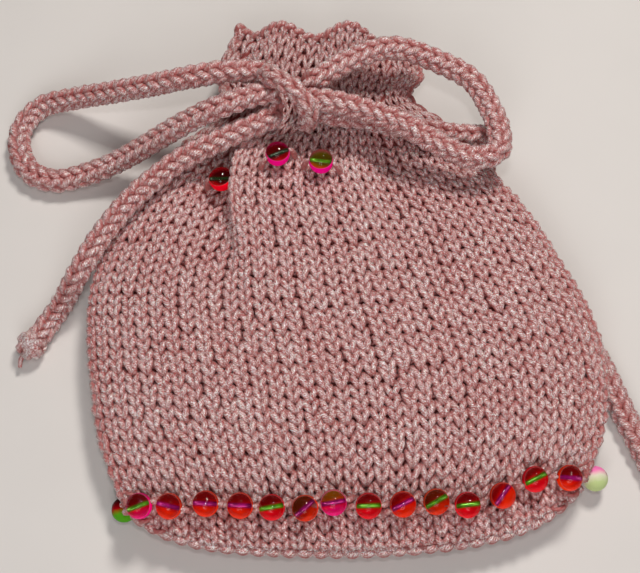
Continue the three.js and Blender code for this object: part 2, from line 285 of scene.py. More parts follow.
        # Painted highlight on the tops and painted shade in the hollows, added to the tone.
        top = add_node(tree, "ShaderNodeMapRange",
                       {"Value": rise.outputs["Fac"], "From Min": self.rise[0], "From Max": self.rise[1],
                        "To Min": self.painted_top_light_tone[0], "To Max": self.painted_top_light_tone[1]})
        tone = add_node(tree, "ShaderNodeMath", {0: mottle.outputs[0], 1: top.outputs[0]}, operation="ADD")
        ramp = add_node(tree, "ShaderNodeValToRGB", {"Fac": tone.outputs[0]})
        stops = ramp.color_ramp.elements
        stops[0].position, stops[0].color = self.tones[0], linear(self.deep)
        stops[1].position, stops[1].color = self.tones[3], linear(self.fleck_and_painted_glint)
        for position, colour in zip(self.tones[1:3], (self.core, self.pale)):
            stops.new(position).color = linear(colour)
        polish = add_node(tree, "ShaderNodeMapRange",
                          {"Value": tone.outputs[0], "From Min": self.polish_tones[0],
                           "From Max": self.polish_tones[1], "To Min": self.roughness, "To Max": self.shine})
        relief = add_node(tree, "ShaderNodeMath",
                          {0: ply.outputs[0], 1: self.ply_relief, 2: fibres.outputs["Fac"]},
                          operation="MULTIPLY_ADD")
        bump = add_node(tree, "ShaderNodeBump",
                        {"Strength": self.bump, "Distance": self.bump_mm * MM, "Height": relief.outputs[0]})
        shader = add_node(
            tree, "ShaderNodeBsdfPrincipled",
            {"Base Color": ramp.outputs["Color"], "Roughness": polish.outputs[0],
             "Specular IOR Level": self.specular, "Subsurface Weight": self.glow, "Subsurface Radius": self.glow_reach,
             "Subsurface Scale": self.glow_mm * MM, "Sheen Weight": self.sheen,
             "Sheen Roughness": self.sheen_roughness, "Sheen Tint": linear(self.fleck_and_painted_glint),
             "Normal": bump.outputs["Normal"]},
        )
        tree.links.new(shader.outputs[0], output.inputs["Surface"])
        return material


@dataclass(frozen=True)
class InnerFacePaintedShadeFinish:
    """The purl side of the same knit, seen only down the mouth: matt, bumpy and in shade."""

    name: str = "purl_side_knit_painted_shade"
    # Colours darker than the yarn's: painted shade for the inside and for the gaps between stitches.
    deep: str = "#5a2321"
    core: str = "#a0524e"
    loop_mm: float = 3.4
    disorder: float = 0.35
    bump: float = 0.8
    bump_mm: float = 0.8
    roughness: float = 0.9
    specular: float = 0.1

    def material(self) -> Any:
        """Build the material of the inner face.

        Returns:
            The material.
        """
        material, tree, output = new_material(self.name)
        spot = add_node(tree, "ShaderNodeTexCoord")
        bumps = add_node(
            tree, "ShaderNodeTexVoronoi",
            {"Vector": spot.outputs["Object"], "Scale": 1000 / self.loop_mm, "Randomness": self.disorder},
            feature="SMOOTH_F1",
        )
        # Painted shade between the purl bumps: core colour at their middles, deep colour between them.
        ramp = add_node(tree, "ShaderNodeValToRGB", {"Fac": bumps.outputs["Distance"]})
        ramp.color_ramp.elements[0].color = linear(self.core)
        ramp.color_ramp.elements[1].color = linear(self.deep)
        bump = add_node(tree, "ShaderNodeBump",
                        {"Strength": self.bump, "Distance": self.bump_mm * MM, "Height": bumps.outputs["Distance"]},
                        invert=True)
        shader = add_node(
            tree, "ShaderNodeBsdfPrincipled",
            {"Base Color": ramp.outputs["Color"], "Roughness": self.roughness,
             "Specular IOR Level": self.specular, "Normal": bump.outputs["Normal"]},
        )
        tree.links.new(shader.outputs[0], output.inputs["Surface"])
        return material


class Lining(Enum):
    """Colour of the coat inside a bead's hole."""

    GREEN = "#5a9a0c"
    MAGENTA = "#a40c6e"
    DARK = "#1d3312"


class Coat(Enum):
    """Colours of a bead's coated half, from its lower edge to its upper edge."""

    # Each coat's own hues, painted bright at the lower edge and dark at the upper edge: painted light and shade.
    ORANGE_RED = ("#ff3a06", "#e8040a", "#5c0305")
    RED = ("#ff0826", "#e4020a", "#4a0204")
    PINK_RED = ("#ff0a8c", "#f0041c", "#640306")
    OLIVE = ("#ff0a94", "#e81006", "#5e5c04")
    BROWN = ("#ff3c08", "#a80604", "#4e2404")
    GREEN_EDGE = ("#4f9a1c", "#9a0410", "#420306")
    PALE = ("#b9c98a", "#d9d3bd", "#f77fbb")


@dataclass(frozen=True)
class GlassFinish:
    """Pressed soda glass bead, fire polished, with a thin metal coat on the half that lies on the cloth.

    Light goes in through the clear front and comes back off the coat, so the bead glows in the coat's colours
    on the side away from the light. The coat's colours are painted bright towards the bead's lower edge and dark
    towards its upper edge, with a painted bright rim near the coat's edge: painted light and painted shade over
    the coat's own hues. The front's body is partly open, so that light reaches the coat straight, and a little
    painted glow stands for the light that the round front gathers on the coat.
    """

    coat: Coat
    roughness: float = 0.03
    ior: float = 1.52
    coat_edge: float = 0.4
    coat_blend: float = 0.04
    coat_gloss: float = 0.02
    # Span and stops of the coat ramp, which carries painted light and shade as well as the coat's hues.
    coat_and_painted_light_span: tuple[float, float] = (-0.75, 1.2)
    coat_and_painted_light_stops: tuple[float, float, float] = (0.15, 0.42, 0.72)
    wobble: float = 0.5
    wobble_scale: float = 1.3
    clear: str = "#fff1ef"
    clear_body: float = 0.3
    # Painted rim light: the bright low coat colour mixed in near the coat's edge, weaker towards the bead's top.
    painted_rim_light: tuple[float, float] = (-0.3, 0.15)
    painted_rim_light_share: float = 0.8
    painted_rim_light_fade: tuple[float, float] = (0.5, -0.1)
    painted_rim_light_above: float = 0.45
    # Painted glow: emission strength in the coat's colours, standing for light gathered by the glass.
    painted_gathered_glow: float = 0.12

    def material(self) -> Any:
        """Build the glass material, which reads the bead_place attribute (place in the bead, in radii).

        Returns:
            The material.
        """
        material, tree, output = new_material(f"coated_glass_{self.coat.name.lower()}")
        place = add_node(tree, "ShaderNodeAttribute", attribute_name="bead_place")
        parts = add_node(tree, "ShaderNodeSeparateXYZ", {0: place.outputs["Vector"]})
        wobble = add_node(tree, "ShaderNodeTexNoise",
                          {"Vector": place.outputs["Vector"], "Scale": self.wobble_scale, "Detail": 1.0})
        tilt = add_node(tree, "ShaderNodeMath", {0: wobble.outputs["Fac"], 1: self.wobble, 2: parts.outputs["Y"]},
                        operation="MULTIPLY_ADD")
        # Painted light and shade: the coat runs from bright at the bead's lower edge to dark at its upper edge.
        height = add_node(tree, "ShaderNodeMapRange",
                          {"Value": tilt.outputs[0], "From Min": self.coat_and_painted_light_span[0], "From Max": self.coat_and_painted_light_span[1]})
        ramp = add_node(tree, "ShaderNodeValToRGB", {"Fac": height.outputs[0]})
        low, middle, high = [linear(colour) for colour in self.coat.value]
        stops = ramp.color_ramp.elements
        stops[0].position, stops[0].color = self.coat_and_painted_light_stops[0], low
        stops[1].position, stops[1].color = self.coat_and_painted_light_stops[2], high
        stops.new(self.coat_and_painted_light_stops[1]).color = middle
        coated = add_node(
            tree, "ShaderNodeMapRange",
            {"Value": parts.outputs["Z"], "From Min": self.coat_edge, "From Max": self.coat_edge - self.coat_blend},
        )
        # Painted rim light near the coat's edge, faded towards the bead's top.
        painted_rim_light = add_node(tree, "ShaderNodeMapRange",
                       {"Value": parts.outputs["Z"], "From Min": self.painted_rim_light[0], "From Max": self.painted_rim_light[1],
                        "To Max": self.painted_rim_light_share})
        lower = add_node(tree, "ShaderNodeMapRange",
                         {"Value": parts.outputs["Y"], "From Min": self.painted_rim_light_fade[0], "From Max": self.painted_rim_light_fade[1],
                          "To Min": self.painted_rim_light_above})
        edge = add_node(tree, "ShaderNodeMath", {0: painted_rim_light.outputs[0], 1: lower.outputs[0]}, operation="MULTIPLY")
        film = add_node(tree, "ShaderNodeMix", {0: edge.outputs[0], 6: ramp.outputs["Color"], 7: low},
                        data_type="RGBA")
        # Painted glow: emission in the coat's colours on the coated half only.
        painted_gathered_glow = add_node(tree, "ShaderNodeMix", {0: coated.outputs[0], 6: (0, 0, 0, 1), 7: film.outputs[2]},
                            data_type="RGBA")
        colour = add_node(tree, "ShaderNodeMix",
                          {0: coated.outputs[0], 6: linear(self.clear), 7: film.outputs[2]}, data_type="RGBA")
        gloss = add_node(tree, "ShaderNodeMapRange",
                         {"Value": coated.outputs[0], "To Min": 1.0, "To Max": self.coat_gloss})
        body = add_node(tree, "ShaderNodeMapRange",
                        {"Value": coated.outputs[0], "To Min": self.clear_body, "To Max": 1.0})
        see_through = add_node(tree, "ShaderNodeMapRange", {"Value": coated.outputs[0], "To Min": 1.0, "To Max": 0.0})
        shader = add_node(
            tree, "ShaderNodeBsdfPrincipled",
            {"Base Color": colour.outputs[2], "Roughness": self.roughness, "IOR": self.ior,
             "Specular IOR Level": gloss.outputs[0], "Transmission Weight": see_through.outputs[0],
             "Emission Color": painted_gathered_glow.outputs[2], "Emission Strength": self.painted_gathered_glow, "Alpha": body.outputs[0]},
        )
        tree.links.new(shader.outputs[0], output.inputs["Surface"])
        return material


@dataclass(frozen=True)
class LiningFinish:
    """Metal film inside a bead's hole, which shows through the glass as a bright stripe."""

    lining: Lining
    wear_mm: float = 1.5
    metallic: float = 0.4
    roughness: tuple[float, float] = (0.1, 0.3)
    bright: tuple[float, float] = (0.45, 1.5)
    patches: tuple[float, float] = (0.3, 0.7)

    def material(self) -> Any:
        """Build the lining material.

        Returns:
            The material.
        """
        material, tree, output = new_material(f"hole_film_{self.lining.name.lower()}")
        spot = add_node(tree, "ShaderNodeTexCoord")
        wear = add_node(tree, "ShaderNodeTexNoise",
                        {"Vector": spot.outputs["Object"], "Scale": 1000 / self.wear_mm})
        rough = add_node(tree, "ShaderNodeMapRange",
                         {"Value": wear.outputs["Fac"], "To Min": self.roughness[0], "To Max": self.roughness[1]})
        thin = add_node(tree, "ShaderNodeMapRange",
                        {"Value": wear.outputs["Fac"], "From Min": self.patches[0], "From Max": self.patches[1],
                         "To Min": self.bright[0], "To Max": self.bright[1]})
        film = add_node(tree, "ShaderNodeHueSaturation",
                        {"Value": thin.outputs[0], "Color": linear(self.lining.value)})
        shader = add_node(
            tree, "ShaderNodeBsdfPrincipled",
            {"Base Color": film.outputs[0], "Metallic": self.metallic, "Roughness": rough.outputs[0]},
        )
        tree.links.new(shader.outputs[0], output.inputs["Surface"])
        return material


@dataclass(frozen=True)
class FloorFinish:
    """Plain pale painted board with a faint eggshell mottle."""

    colour: str = "#dcd8d4"
    mottle_mm: float = 30.0
    roughness: tuple[float, float] = (0.6, 0.75)
    cloud: tuple[float, float] = (0.97, 1.03)
    specular: float = 0.2

    def material(self) -> Any:
        """Build the floor material.

        Returns:
            The material.
        """
        material, tree, output = new_material("pale_floor_paint")
        spot = add_node(tree, "ShaderNodeTexCoord")
        mottle = add_node(tree, "ShaderNodeTexNoise",
                          {"Vector": spot.outputs["Object"], "Scale": 1000 / self.mottle_mm})
        rough, cloud = [
            add_node(tree, "ShaderNodeMapRange", {"Value": mottle.outputs["Fac"], "To Min": low, "To Max": high})
            for low, high in (self.roughness, self.cloud)
        ]
        paint = add_node(tree, "ShaderNodeHueSaturation", {"Value": cloud.outputs[0], "Color": linear(self.colour)})
        shader = add_node(
            tree, "ShaderNodeBsdfPrincipled",
            {"Base Color": paint.outputs[0], "Roughness": rough.outputs[0], "Specular IOR Level": self.specular},
        )
        tree.links.new(shader.outputs[0], output.inputs["Surface"])
        return material


@dataclass(frozen=True)
class Strand:
    """A stretch of yarn: its points, its thickness, the way out of the cloth and whether it closes on itself.

    The way out is a vector for each point, 1 long where the yarn lies on top and shorter in the hollows; its
    length sets the yarn finish's painted highlight on the tops and painted shade in the hollows.
    """

    points: np.ndarray
    thick: np.ndarray
    out: np.ndarray
    closed: bool = False


def painted_light_share(front: np.ndarray) -> np.ndarray:
    """Length of the way out, from yarn's place between the hollows (-1) and the tops (1) of the stitches."""
    # This length sets the painted shade in the hollows and the painted highlight on the tops.
    return 0.55 + 0.45 * front


@dataclass(frozen=True)
class YarnSweep:
    """Geometry Nodes tree that sweeps round yarn along strands and keeps their running length for the finish."""

    radius_mm: float = 1.15
    sides: int = 6
    unevenness_mm: float = 0.22
    grain_mm: float = 7.0
    seed: float = 4.0

    def tree(self) -> Any:
        """Build the node tree once, with named inputs for its sizes.

        Returns:
            The node group.
        """
        made = bpy.data.node_groups.get("yarn_sweep")
        if made is not None:
            return made
        tree = bpy.data.node_groups.new("yarn_sweep", "GeometryNodeTree")
        for name, kind in (
            ("Strands", "NodeSocketGeometry"), ("Yarn Radius", "NodeSocketFloat"), ("Sides", "NodeSocketInt"),
            ("Unevenness", "NodeSocketFloat"), ("Grain", "NodeSocketFloat"), ("Seed", "NodeSocketFloat"),
            ("Yarn", "NodeSocketMaterial"),
        ):
            tree.interface.new_socket(name, in_out="INPUT", socket_type=kind)
        tree.interface.new_socket("Yarn", in_out="OUTPUT", socket_type="NodeSocketGeometry")
        given = add_node(tree, "NodeGroupInput").outputs
        curve = add_node(tree, "GeometryNodeMeshToCurve", {"Mesh": given["Strands"]})
        place = add_node(tree, "GeometryNodeInputPosition")
        scale = add_node(tree, "ShaderNodeMath", {0: 1.0, 1: given["Grain"]}, operation="DIVIDE")
        noise = add_node(
            tree, "ShaderNodeTexNoise",
            {"Vector": place.outputs[0], "W": given["Seed"], "Scale": scale.outputs[0], "Detail": 1.0},
            noise_dimensions="4D",
        )
        centred = add_node(tree, "ShaderNodeVectorMath", {0: noise.outputs["Color"], 1: (0.5, 0.5, 0.5)},
                           operation="SUBTRACT")
        shift = add_node(tree, "ShaderNodeVectorMath", {0: centred.outputs[0], "Scale": given["Unevenness"]},
                         operation="SCALE")
        moved = add_node(tree, "GeometryNodeSetPosition",
                         {"Geometry": curve.outputs[0], "Offset": shift.outputs[0]})
        spline = add_node(tree, "GeometryNodeSplineParameter")
        run_mm = add_node(tree, "ShaderNodeMath", {0: spline.outputs["Length"], 1: 1 / MM}, operation="MULTIPLY")
        along = add_node(
            tree, "GeometryNodeStoreNamedAttribute",
            {"Geometry": moved.outputs[0], "Name": "along", "Value": run_mm.outputs[0]},
            data_type="FLOAT", domain="POINT",
        )
        circle = add_node(tree, "GeometryNodeCurvePrimitiveCircle",
                          {"Resolution": given["Sides"], "Radius": given["Yarn Radius"]})
        ring_place = add_node(tree, "GeometryNodeInputPosition")
        ring_unit = add_node(tree, "ShaderNodeVectorMath", {0: ring_place.outputs[0]}, operation="NORMALIZE")
        ring = add_node(
            tree, "GeometryNodeStoreNamedAttribute",
            {"Geometry": circle.outputs[0], "Name": "round", "Value": ring_unit.outputs[0]},
            data_type="FLOAT_VECTOR", domain="POINT",
        )
        thick = add_node(tree, "GeometryNodeInputNamedAttribute", {"Name": "thick"}, data_type="FLOAT")
        tube = add_node(
            tree, "GeometryNodeCurveToMesh",
            {"Curve": along.outputs[0], "Profile Curve": ring.outputs[0], "Scale": thick.outputs[0],
             "Fill Caps": True},
        )
        run = add_node(tree, "GeometryNodeInputNamedAttribute", {"Name": "along"}, data_type="FLOAT")
        about = add_node(tree, "GeometryNodeInputNamedAttribute", {"Name": "round"}, data_type="FLOAT_VECTOR")
        turn = add_node(tree, "ShaderNodeSeparateXYZ", {0: about.outputs[0]})
        joined = add_node(tree, "ShaderNodeCombineXYZ",
                          {0: run.outputs[0], 1: turn.outputs[0], 2: turn.outputs[1]})
        kept = add_node(
            tree, "GeometryNodeStoreNamedAttribute",
            {"Geometry": tube.outputs[0], "Name": "yarn", "Value": joined.outputs[0]},
            data_type="FLOAT_VECTOR", domain="POINT",
        )
        # Mask for painted light: rise is how far each face turns along the strand's way out, high on tops, low in
        # hollows.
        outward = add_node(tree, "GeometryNodeInputNamedAttribute", {"Name": "out"}, data_type="FLOAT_VECTOR")
        facing = add_node(tree, "GeometryNodeInputNormal")
        rise = add_node(tree, "ShaderNodeVectorMath", {0: facing.outputs[0], 1: outward.outputs[0]},
                        operation="DOT_PRODUCT")
        shown = add_node(
            tree, "GeometryNodeStoreNamedAttribute",
            {"Geometry": kept.outputs[0], "Name": "rise", "Value": rise.outputs["Value"]},
            data_type="FLOAT", domain="POINT",
        )
        smooth = add_node(tree, "GeometryNodeSetShadeSmooth", {0: shown.outputs[0]})
        real = add_node(tree, "GeometryNodeRealizeInstances", {0: smooth.outputs[0]})
        dressed = add_node(tree, "GeometryNodeSetMaterial", {0: real.outputs[0], "Material": given["Yarn"]})
        add_node(tree, "NodeGroupOutput", {0: dressed.outputs[0]})
        return tree

    def make(self, name: str, strands: Sequence[Strand], material: Any) -> Any:
        """Sweep yarn along strands into one plain mesh.

        Args:
            name: The piece's name.
            strands: The strands of the piece.
            material: The yarn material.

        Returns:
            The finished object.
        """
        points = np.concatenate([s.points for s in strands])
        edges: list[np.ndarray] = []
        start = 0
        for strand in strands:
            index = np.arange(start, start + len(strand.points))
            edges.append(np.stack([index[:-1], index[1:]], axis=1))
            if strand.closed:
                edges.append(np.array([[index[-1], index[0]]]))
            start += len(strand.points)
        guide = mesh_object(f"{name}_strands", points, [], np.concatenate(edges))
        thick = guide.data.attributes.new("thick", "FLOAT", "POINT")
        thick.data.foreach_set("value", np.concatenate([s.thick for s in strands]).astype(np.float32))
        out = guide.data.attributes.new("out", "FLOAT_VECTOR", "POINT")
        out.data.foreach_set("vector", np.concatenate([s.out for s in strands]).astype(np.float32).ravel())
        tree = self.tree()
        modifier = guide.modifiers.new("yarn_sweep", "NODES")
        modifier.node_group = tree
        values = {
            "Yarn Radius": self.radius_mm * MM, "Sides": self.sides, "Unevenness": self.unevenness_mm * MM,
            "Grain": self.grain_mm * MM, "Seed": self.seed, "Yarn": material,
        }
        for item in tree.interface.items_tree:
            if item.in_out == "INPUT" and item.name in values:
                modifier[item.identifier] = values[item.name]
        seen = guide.evaluated_get(bpy.context.evaluated_depsgraph_get())
        mesh = bpy.data.meshes.new_from_object(seen)
        mesh.name = name
        made = bpy.data.objects.new(name, mesh)
        bpy.context.scene.collection.objects.link(made)
        guide.modifiers.clear()
        bpy.data.objects.remove(guide)
        return made


@dataclass(frozen=True)
class LongFold:
    """A long fold down the front: place across at its top and foot, course of its foot, depth and widths."""

    top: float
    foot: float
    foot_course: float
    depth: float
    inner_width: float
    outer_width: float


COURSE_COLUMNS = ("middle_y", "crest", "under", "left_x", "left_y", "left_z", "right_x", "right_y", "right_z")
COURSES = np.array([
    [-78, 17.5, 8.6, -74.4, -69.5, 12, 73.3, -72, 12],
    [-65, 23.5, 1, -79, -55, 12.5, 79.6, -59, 12.5],
    [-52, 27, 0, -81.6, -40, 13, 82.5, -45, 13.5],
    [-38, 28.5, 0, -82.3, -26, 13.5, 82.2, -31, 15.5],
    [-24.5, 29, 0, -82.5, -12, 14, 79, -17, 16.5],
    [-11, 29, 0, -80.8, 2, 14, 73.4, -3.6, 16.5],
    [2.5, 28.5, 0, -75.8, 15.3, 14.5, 67.8, 9.6, 16.5],
    [16, 27.5, 0, -68.5, 27.5, 15, 60.6, 22.8, 16.5],
    [29.5, 26.5, 1, -59.8, 38.3, 15.5, 52.4, 34.5, 16],
    [43, 25.5, 5, -50.3, 49, 16, 46.8, 46.5, 16],
    [56.5, 23.5, 9.6, -35.2, 60, 16.5, 32.3, 59.5, 16.5],
    [70, 24, 9, -35.5, 75, 16.5, 36.5, 67, 16.5],
    [85.4, 25, 7.5, -27.5, 91.66, 16.5, 35, 75.5, 16.5],
])


@dataclass(frozen=True)
class PouchForm:
    """The pouch's outer and inner faces, by the CAD source's own formulas, with creases deep enough for the knit."""

    neck: float = 10.0
    mouth: float = 12.0
    dome_power: float = 2.4
    dome_rounding: float = 0.62
    flat_share: float = 0.68
    side_power: float = 1.2
    course_sag: float = 1.8
    skew_drop: float = 4.0
    skew_end: float = 4.0
    edge_inset: float = 5 / 3
    folds: tuple[LongFold, ...] = (
        LongFold(-0.55, -0.33, 3.5, 5.0, 0.08, 0.2),
        LongFold(0.42, 0.35, 1.5, 2.8, 0.14, 0.14),
    )
    fold_crease: float = 1.5
    fold_pinch: float = 0.7
    fold_ridge: tuple[float, float] = (3.4, 4.4)
    ridge_place: tuple[float, float] = (0.1, 0.06)
    ridge_ends: tuple[float, float] = (1.5, 0.5)
    fold_top: float = 8.5
    fold_fade: tuple[float, float] = (8.8, 10.2)
    gathers: int = 4
    gather_phase: float = 1.45
    gather_start: float = 7.2
    gather_neck: float = 2.3
    gather_ruffle: float = 1.0
    gather_back: float = 0.35
    crease: float = 1.0
    ruffle_wave: float = 2.8
    base_bulge: float = 13.56
    base_power: float = 5.8
    base_height: float = 10.0
    base_fullness: float = 0.75

    def course_at(self, course: np.ndarray) -> dict[str, np.ndarray]:
        """Smooth values of the course table between whole courses.

        Args:
            course: Course numbers.

        Returns:
            One array for each column of the table.
        """
        last = len(COURSES) - 1
        base = np.minimum(np.floor(course), last - 1).astype(int)
        k = (course - base)[..., None]
        a, b, c, d = [COURSES[np.clip(base + offset, 0, last)] for offset in (-1, 0, 1, 2)]
        values = 0.5 * (2 * b + (c - a) * k + (2 * a - 5 * b + 4 * c - d) * k**2 + (3 * b - a - 3 * c + d) * k**3)
        row = {name: values[..., n] for n, name in enumerate(COURSE_COLUMNS)}
        row["under"] = np.maximum(row["under"], 0)
        return row

    def gather_valley(self, across: np.ndarray) -> tuple[np.ndarray, np.ndarray]:
        """How far the cloth is drawn into a gather, and how much the gathers show at that place."""
        turn = np.arccos(np.clip(-across, -1, 1))
        fade = np.sqrt(np.maximum(np.sin(turn), 0))
        return 0.5 + 0.5 * np.cos(2 * self.gathers * (turn - self.gather_phase)), fade

    def gather_depth(self, across: np.ndarray, course: np.ndarray) -> np.ndarray:
        """Depth of the small gathers, with the narrow crease down the middle of each."""
        valley, fade = self.gather_valley(across)
        neck = smoothstep(course, self.gather_start, self.neck)
        ruffle = self.gather_ruffle * smoothstep(course, self.neck, self.mouth)
        return (self.gather_neck * neck + ruffle) * valley * fade + self.crease * neck * valley**3 * fade

    def fold_depth(self, across: np.ndarray, course: np.ndarray) -> np.ndarray:
        """Depth of the long front folds."""
        depth = np.zeros(np.broadcast(across, course).shape)
        for fold in self.folds:
            k = np.clip((course - fold.foot_course) / (self.fold_top - fold.foot_course), 0, 1)
            line = fold.foot + (fold.top - fold.foot) * k
            inward = (across - line) * np.sign(line) < 0
            width = np.where(inward, fold.inner_width * self.fold_pinch, fold.outer_width)
            length = smoothstep(course, fold.foot_course, self.fold_top) * (1 - smoothstep(course, *self.fold_fade))
            depth = depth + self.fold_crease * fold.depth * length * np.exp(-(((across - line) / width) ** 2))
        return depth

    def ridge(self, across: np.ndarray, course: np.ndarray) -> np.ndarray:
        """How much the cloth swells beside the first fold, on the side towards the middle."""
        fold = self.folds[0]
        k = np.clip((course - fold.foot_course) / (self.fold_top - fold.foot_course), 0, 1)
        line = fold.foot + (fold.top - fold.foot) * k - np.sign(fold.top) * self.ridge_place[0]
        length = smoothstep(course, fold.foot_course + self.ridge_ends[0], self.fold_top - self.ridge_ends[1])
        length = length * (1 - smoothstep(course, self.fold_top, self.fold_fade[1]))
        return length * np.exp(-(((across - line) / self.ridge_place[1]) ** 2))

    def body(self, front: bool, across: np.ndarray, course: np.ndarray, inset: float = 0.0) -> np.ndarray:
        """Points of the body.

        Args:
            front: True on the front face, False on the floor side.
            across: Place across, from -1 at the left edge to 1 at the right edge.
            course: Course numbers.
            inset: Depth into the wall.

        Returns:
            The points, with x, y and z along the last axis.
        """
        across, course = np.broadcast_arrays(np.asarray(across, float), np.asarray(course, float))
        row = self.course_at(course)
        left = row["left_x"] + self.edge_inset * inset
        right = row["right_x"] - self.edge_inset * inset
        half = 0.5 + 0.5 * across
        edge_y = np.where(across < 0, row["left_y"], row["right_y"])
        edge_z = row["left_z"] + (row["right_z"] - row["left_z"]) * half
        reach = np.abs(across)
        valley, fade = self.gather_valley(across)
        wave = self.ruffle_wave * smoothstep(course, self.neck, self.mouth) * (0.5 - valley) * fade
        skew = self.skew_drop * (1 - smoothstep(course, 0, self.skew_end)) * across * (1 - reach**2)
        y = row["middle_y"] + (edge_y - row["middle_y"]) * reach**self.course_sag - skew + wave
        gather = self.gather_depth(across, course)
        x = left + (right - left) * half
        if front:
            dome = np.maximum(1 - reach**self.dome_power, 0) ** self.dome_rounding
            ridge = self.ridge(across, course)
            z = edge_z + (row["crest"] - inset - edge_z) * dome - gather - self.fold_depth(across, course)
            z = z + self.fold_ridge[0] * ridge
            x = x - self.fold_ridge[1] * ridge
        else:
            rise = np.maximum((reach - self.flat_share) / (1 - self.flat_share), 0)
            curve = 1 - np.maximum(1 - rise**self.side_power, 0) ** (1 / self.side_power)
            z = row["under"] + inset + (edge_z - row["under"] - inset) * curve + self.gather_back * gather
        return np.stack([x, y, z], axis=-1)

    def base(self, front: bool, across: np.ndarray, share: np.ndarray, inset: float = 0.0) -> np.ndarray:
        """Points of the base, from the bead round (share 0) to the line that closes it (share 1)."""
        across, share = np.broadcast_arrays(np.asarray(across, float), np.asarray(share, float))
        points = self.body(front, across, np.zeros_like(across), inset)
        bulge = (self.base_bulge - inset) * (1 - np.abs(across) ** self.base_power)
        turn = share * math.pi / 2
        points[..., 1] -= bulge * np.sin(turn) ** self.base_fullness
        lift = np.maximum(np.cos(turn), 0) ** self.base_fullness
        points[..., 2] = self.base_height + (points[..., 2] - self.base_height) * lift
        return points


CAD_FORM = PouchForm(crease=0.0, fold_crease=1.0, fold_pinch=1.0, fold_ridge=(0.0, 0.0))


@dataclass(frozen=True)
class Gauge:
    """Size and shape of one stitch of the pouch: wales round it, rows up it, and the loop's swing."""

    wales: int = 68
    ruffle_wales: int = 44
    ruffle_row: int = 38
    rows_per_course: float = 3.75
    row_mm: float = 3.6
    rows: int = 45
    band_rows: tuple[int, int] = (16, 31)
    base_rows: int = 5
    base_left: float = 0.4
    flat_wale_mm: float = 4.5
    flat_row_mm: float = 3.4
    swing: float = 0.27
    nip: float = 0.02
    reach: float = 0.86
    depth_mm: float = 1.25
    sink_mm: float = 2.2
    points: int = 14
    tuck: int = 4
    fullness: float = 0.22
    closest: float = 0.198
    unevenness: float = 0.14
    seed: int = 11


class KnitMap:
    """Places on the pouch by wale number round it and row number up it from the bead round."""

    columns_per_wale = 8
    levels_per_row = 4
    section_samples = 900
    base_samples = 81

    def __init__(self, form: PouchForm, gauge: Gauge, wales: int) -> None:
        """Tabulate the pouch's outer face with even wales and rows."""
        self.gauge = gauge
        self.wales = wales
        half = wales // 2 * self.columns_per_wale
        turn = np.linspace(0, math.pi, self.section_samples)
        courses = np.arange(gauge.rows * self.levels_per_row + 1) / self.levels_per_row / gauge.rows_per_course
        body = []
        for level, course in enumerate(courses):
            ring = []
            for front in (True, False):
                across = -np.cos(turn) if front else np.cos(turn)
                line = form.body(front, across, np.full_like(across, course))
                length = running_length(line)
                wanted = np.linspace(0, length[-1], half + 1)[:-1]
                ring.append(along_line(wanted, length, line))
                if level == 0:
                    place = np.interp(wanted, length, across)
                    self.across = place if front else np.concatenate([self.across, place])
            body.append(np.concatenate(ring))
        self.half = half
        self.base_length = np.zeros(2 * half)
        base = self._base_levels(form)
        self.first_row = -gauge.base_rows - 1
        self.table = np.concatenate([base[::-1], np.array(body)])
        self.normals = self._normals()
        steps = np.linalg.norm(np.roll(self.table, -1, axis=1) - self.table, axis=-1)
        self.widths = (steps * self.columns_per_wale)[..., None]

    def _base_levels(self, form: PouchForm) -> np.ndarray:
        """Levels of the base below the bead round, at even distances along the cloth, nearest first."""
        levels = np.arange(1, (self.gauge.base_rows + 1) * self.levels_per_row + 1) / self.levels_per_row
        wanted = levels * self.gauge.row_mm
        share = np.linspace(0, 1, self.base_samples)
        made = np.zeros((len(levels), 2 * self.half, 3))
        for column, across in enumerate(self.across):
            line = form.base(column < self.half, np.full_like(share, across), share)
            length = running_length(line)
            self.base_length[column] = length[-1]
            made[:, column] = along_line(wanted, length, line)
        return made

    def _normals(self) -> np.ndarray:
        """Outward directions at the table's places, evened out over one wale to either side."""
        across = np.roll(self.table, -1, axis=1) - np.roll(self.table, 1, axis=1)
        upward = np.gradient(self.table, axis=0)
        normal = np.cross(across, upward)
        weak = np.linalg.norm(normal, axis=-1) < 1e-3
        for level in range(len(normal) - 2, -1, -1):
            normal[level][weak[level]] = normal[level + 1][weak[level]]
        normal = unit(normal)
        spread = range(-self.columns_per_wale, self.columns_per_wale + 1)
        return unit(sum(np.roll(normal, shift, axis=1) for shift in spread))

    def _blend(self, table: np.ndarray, wale: np.ndarray, row: np.ndarray) -> np.ndarray:
        """Values of a table between its places."""
        column = np.asarray(wale, float) * self.columns_per_wale
        level = np.clip((np.asarray(row, float) - self.first_row) * self.levels_per_row, 0, len(table) - 1.001)
        here, below = np.floor(column).astype(int), np.floor(level).astype(int)
        u, v = (column - here)[..., None], (level - below)[..., None]
        here, after = here % table.shape[1], (here + 1) % table.shape[1]
        low, high = [table[k, here] * (1 - u) + table[k, after] * u for k in (below, below + 1)]
        return low * (1 - v) + high * v

    def place(self, wale: np.ndarray, row: np.ndarray, lift: np.ndarray) -> np.ndarray:
        """Points above the outer face.

        Args:
            wale: Wale numbers.
            row: Row numbers.
            lift: Height above the outer face.

        Returns:
            The points.
        """
        return self._blend(self.table, wale, row) + self.out(wale, row) * np.asarray(lift)[..., None]

    def out(self, wale: np.ndarray, row: np.ndarray) -> np.ndarray:
        """The way out of the cloth at a place, 1 long."""
        return unit(self._blend(self.normals, wale, row))

    def width(self, wale: np.ndarray, row: np.ndarray) -> np.ndarray:
        """Width of one wale at a place, along the cloth."""
        return self._blend(self.widths, wale, row)[..., 0]


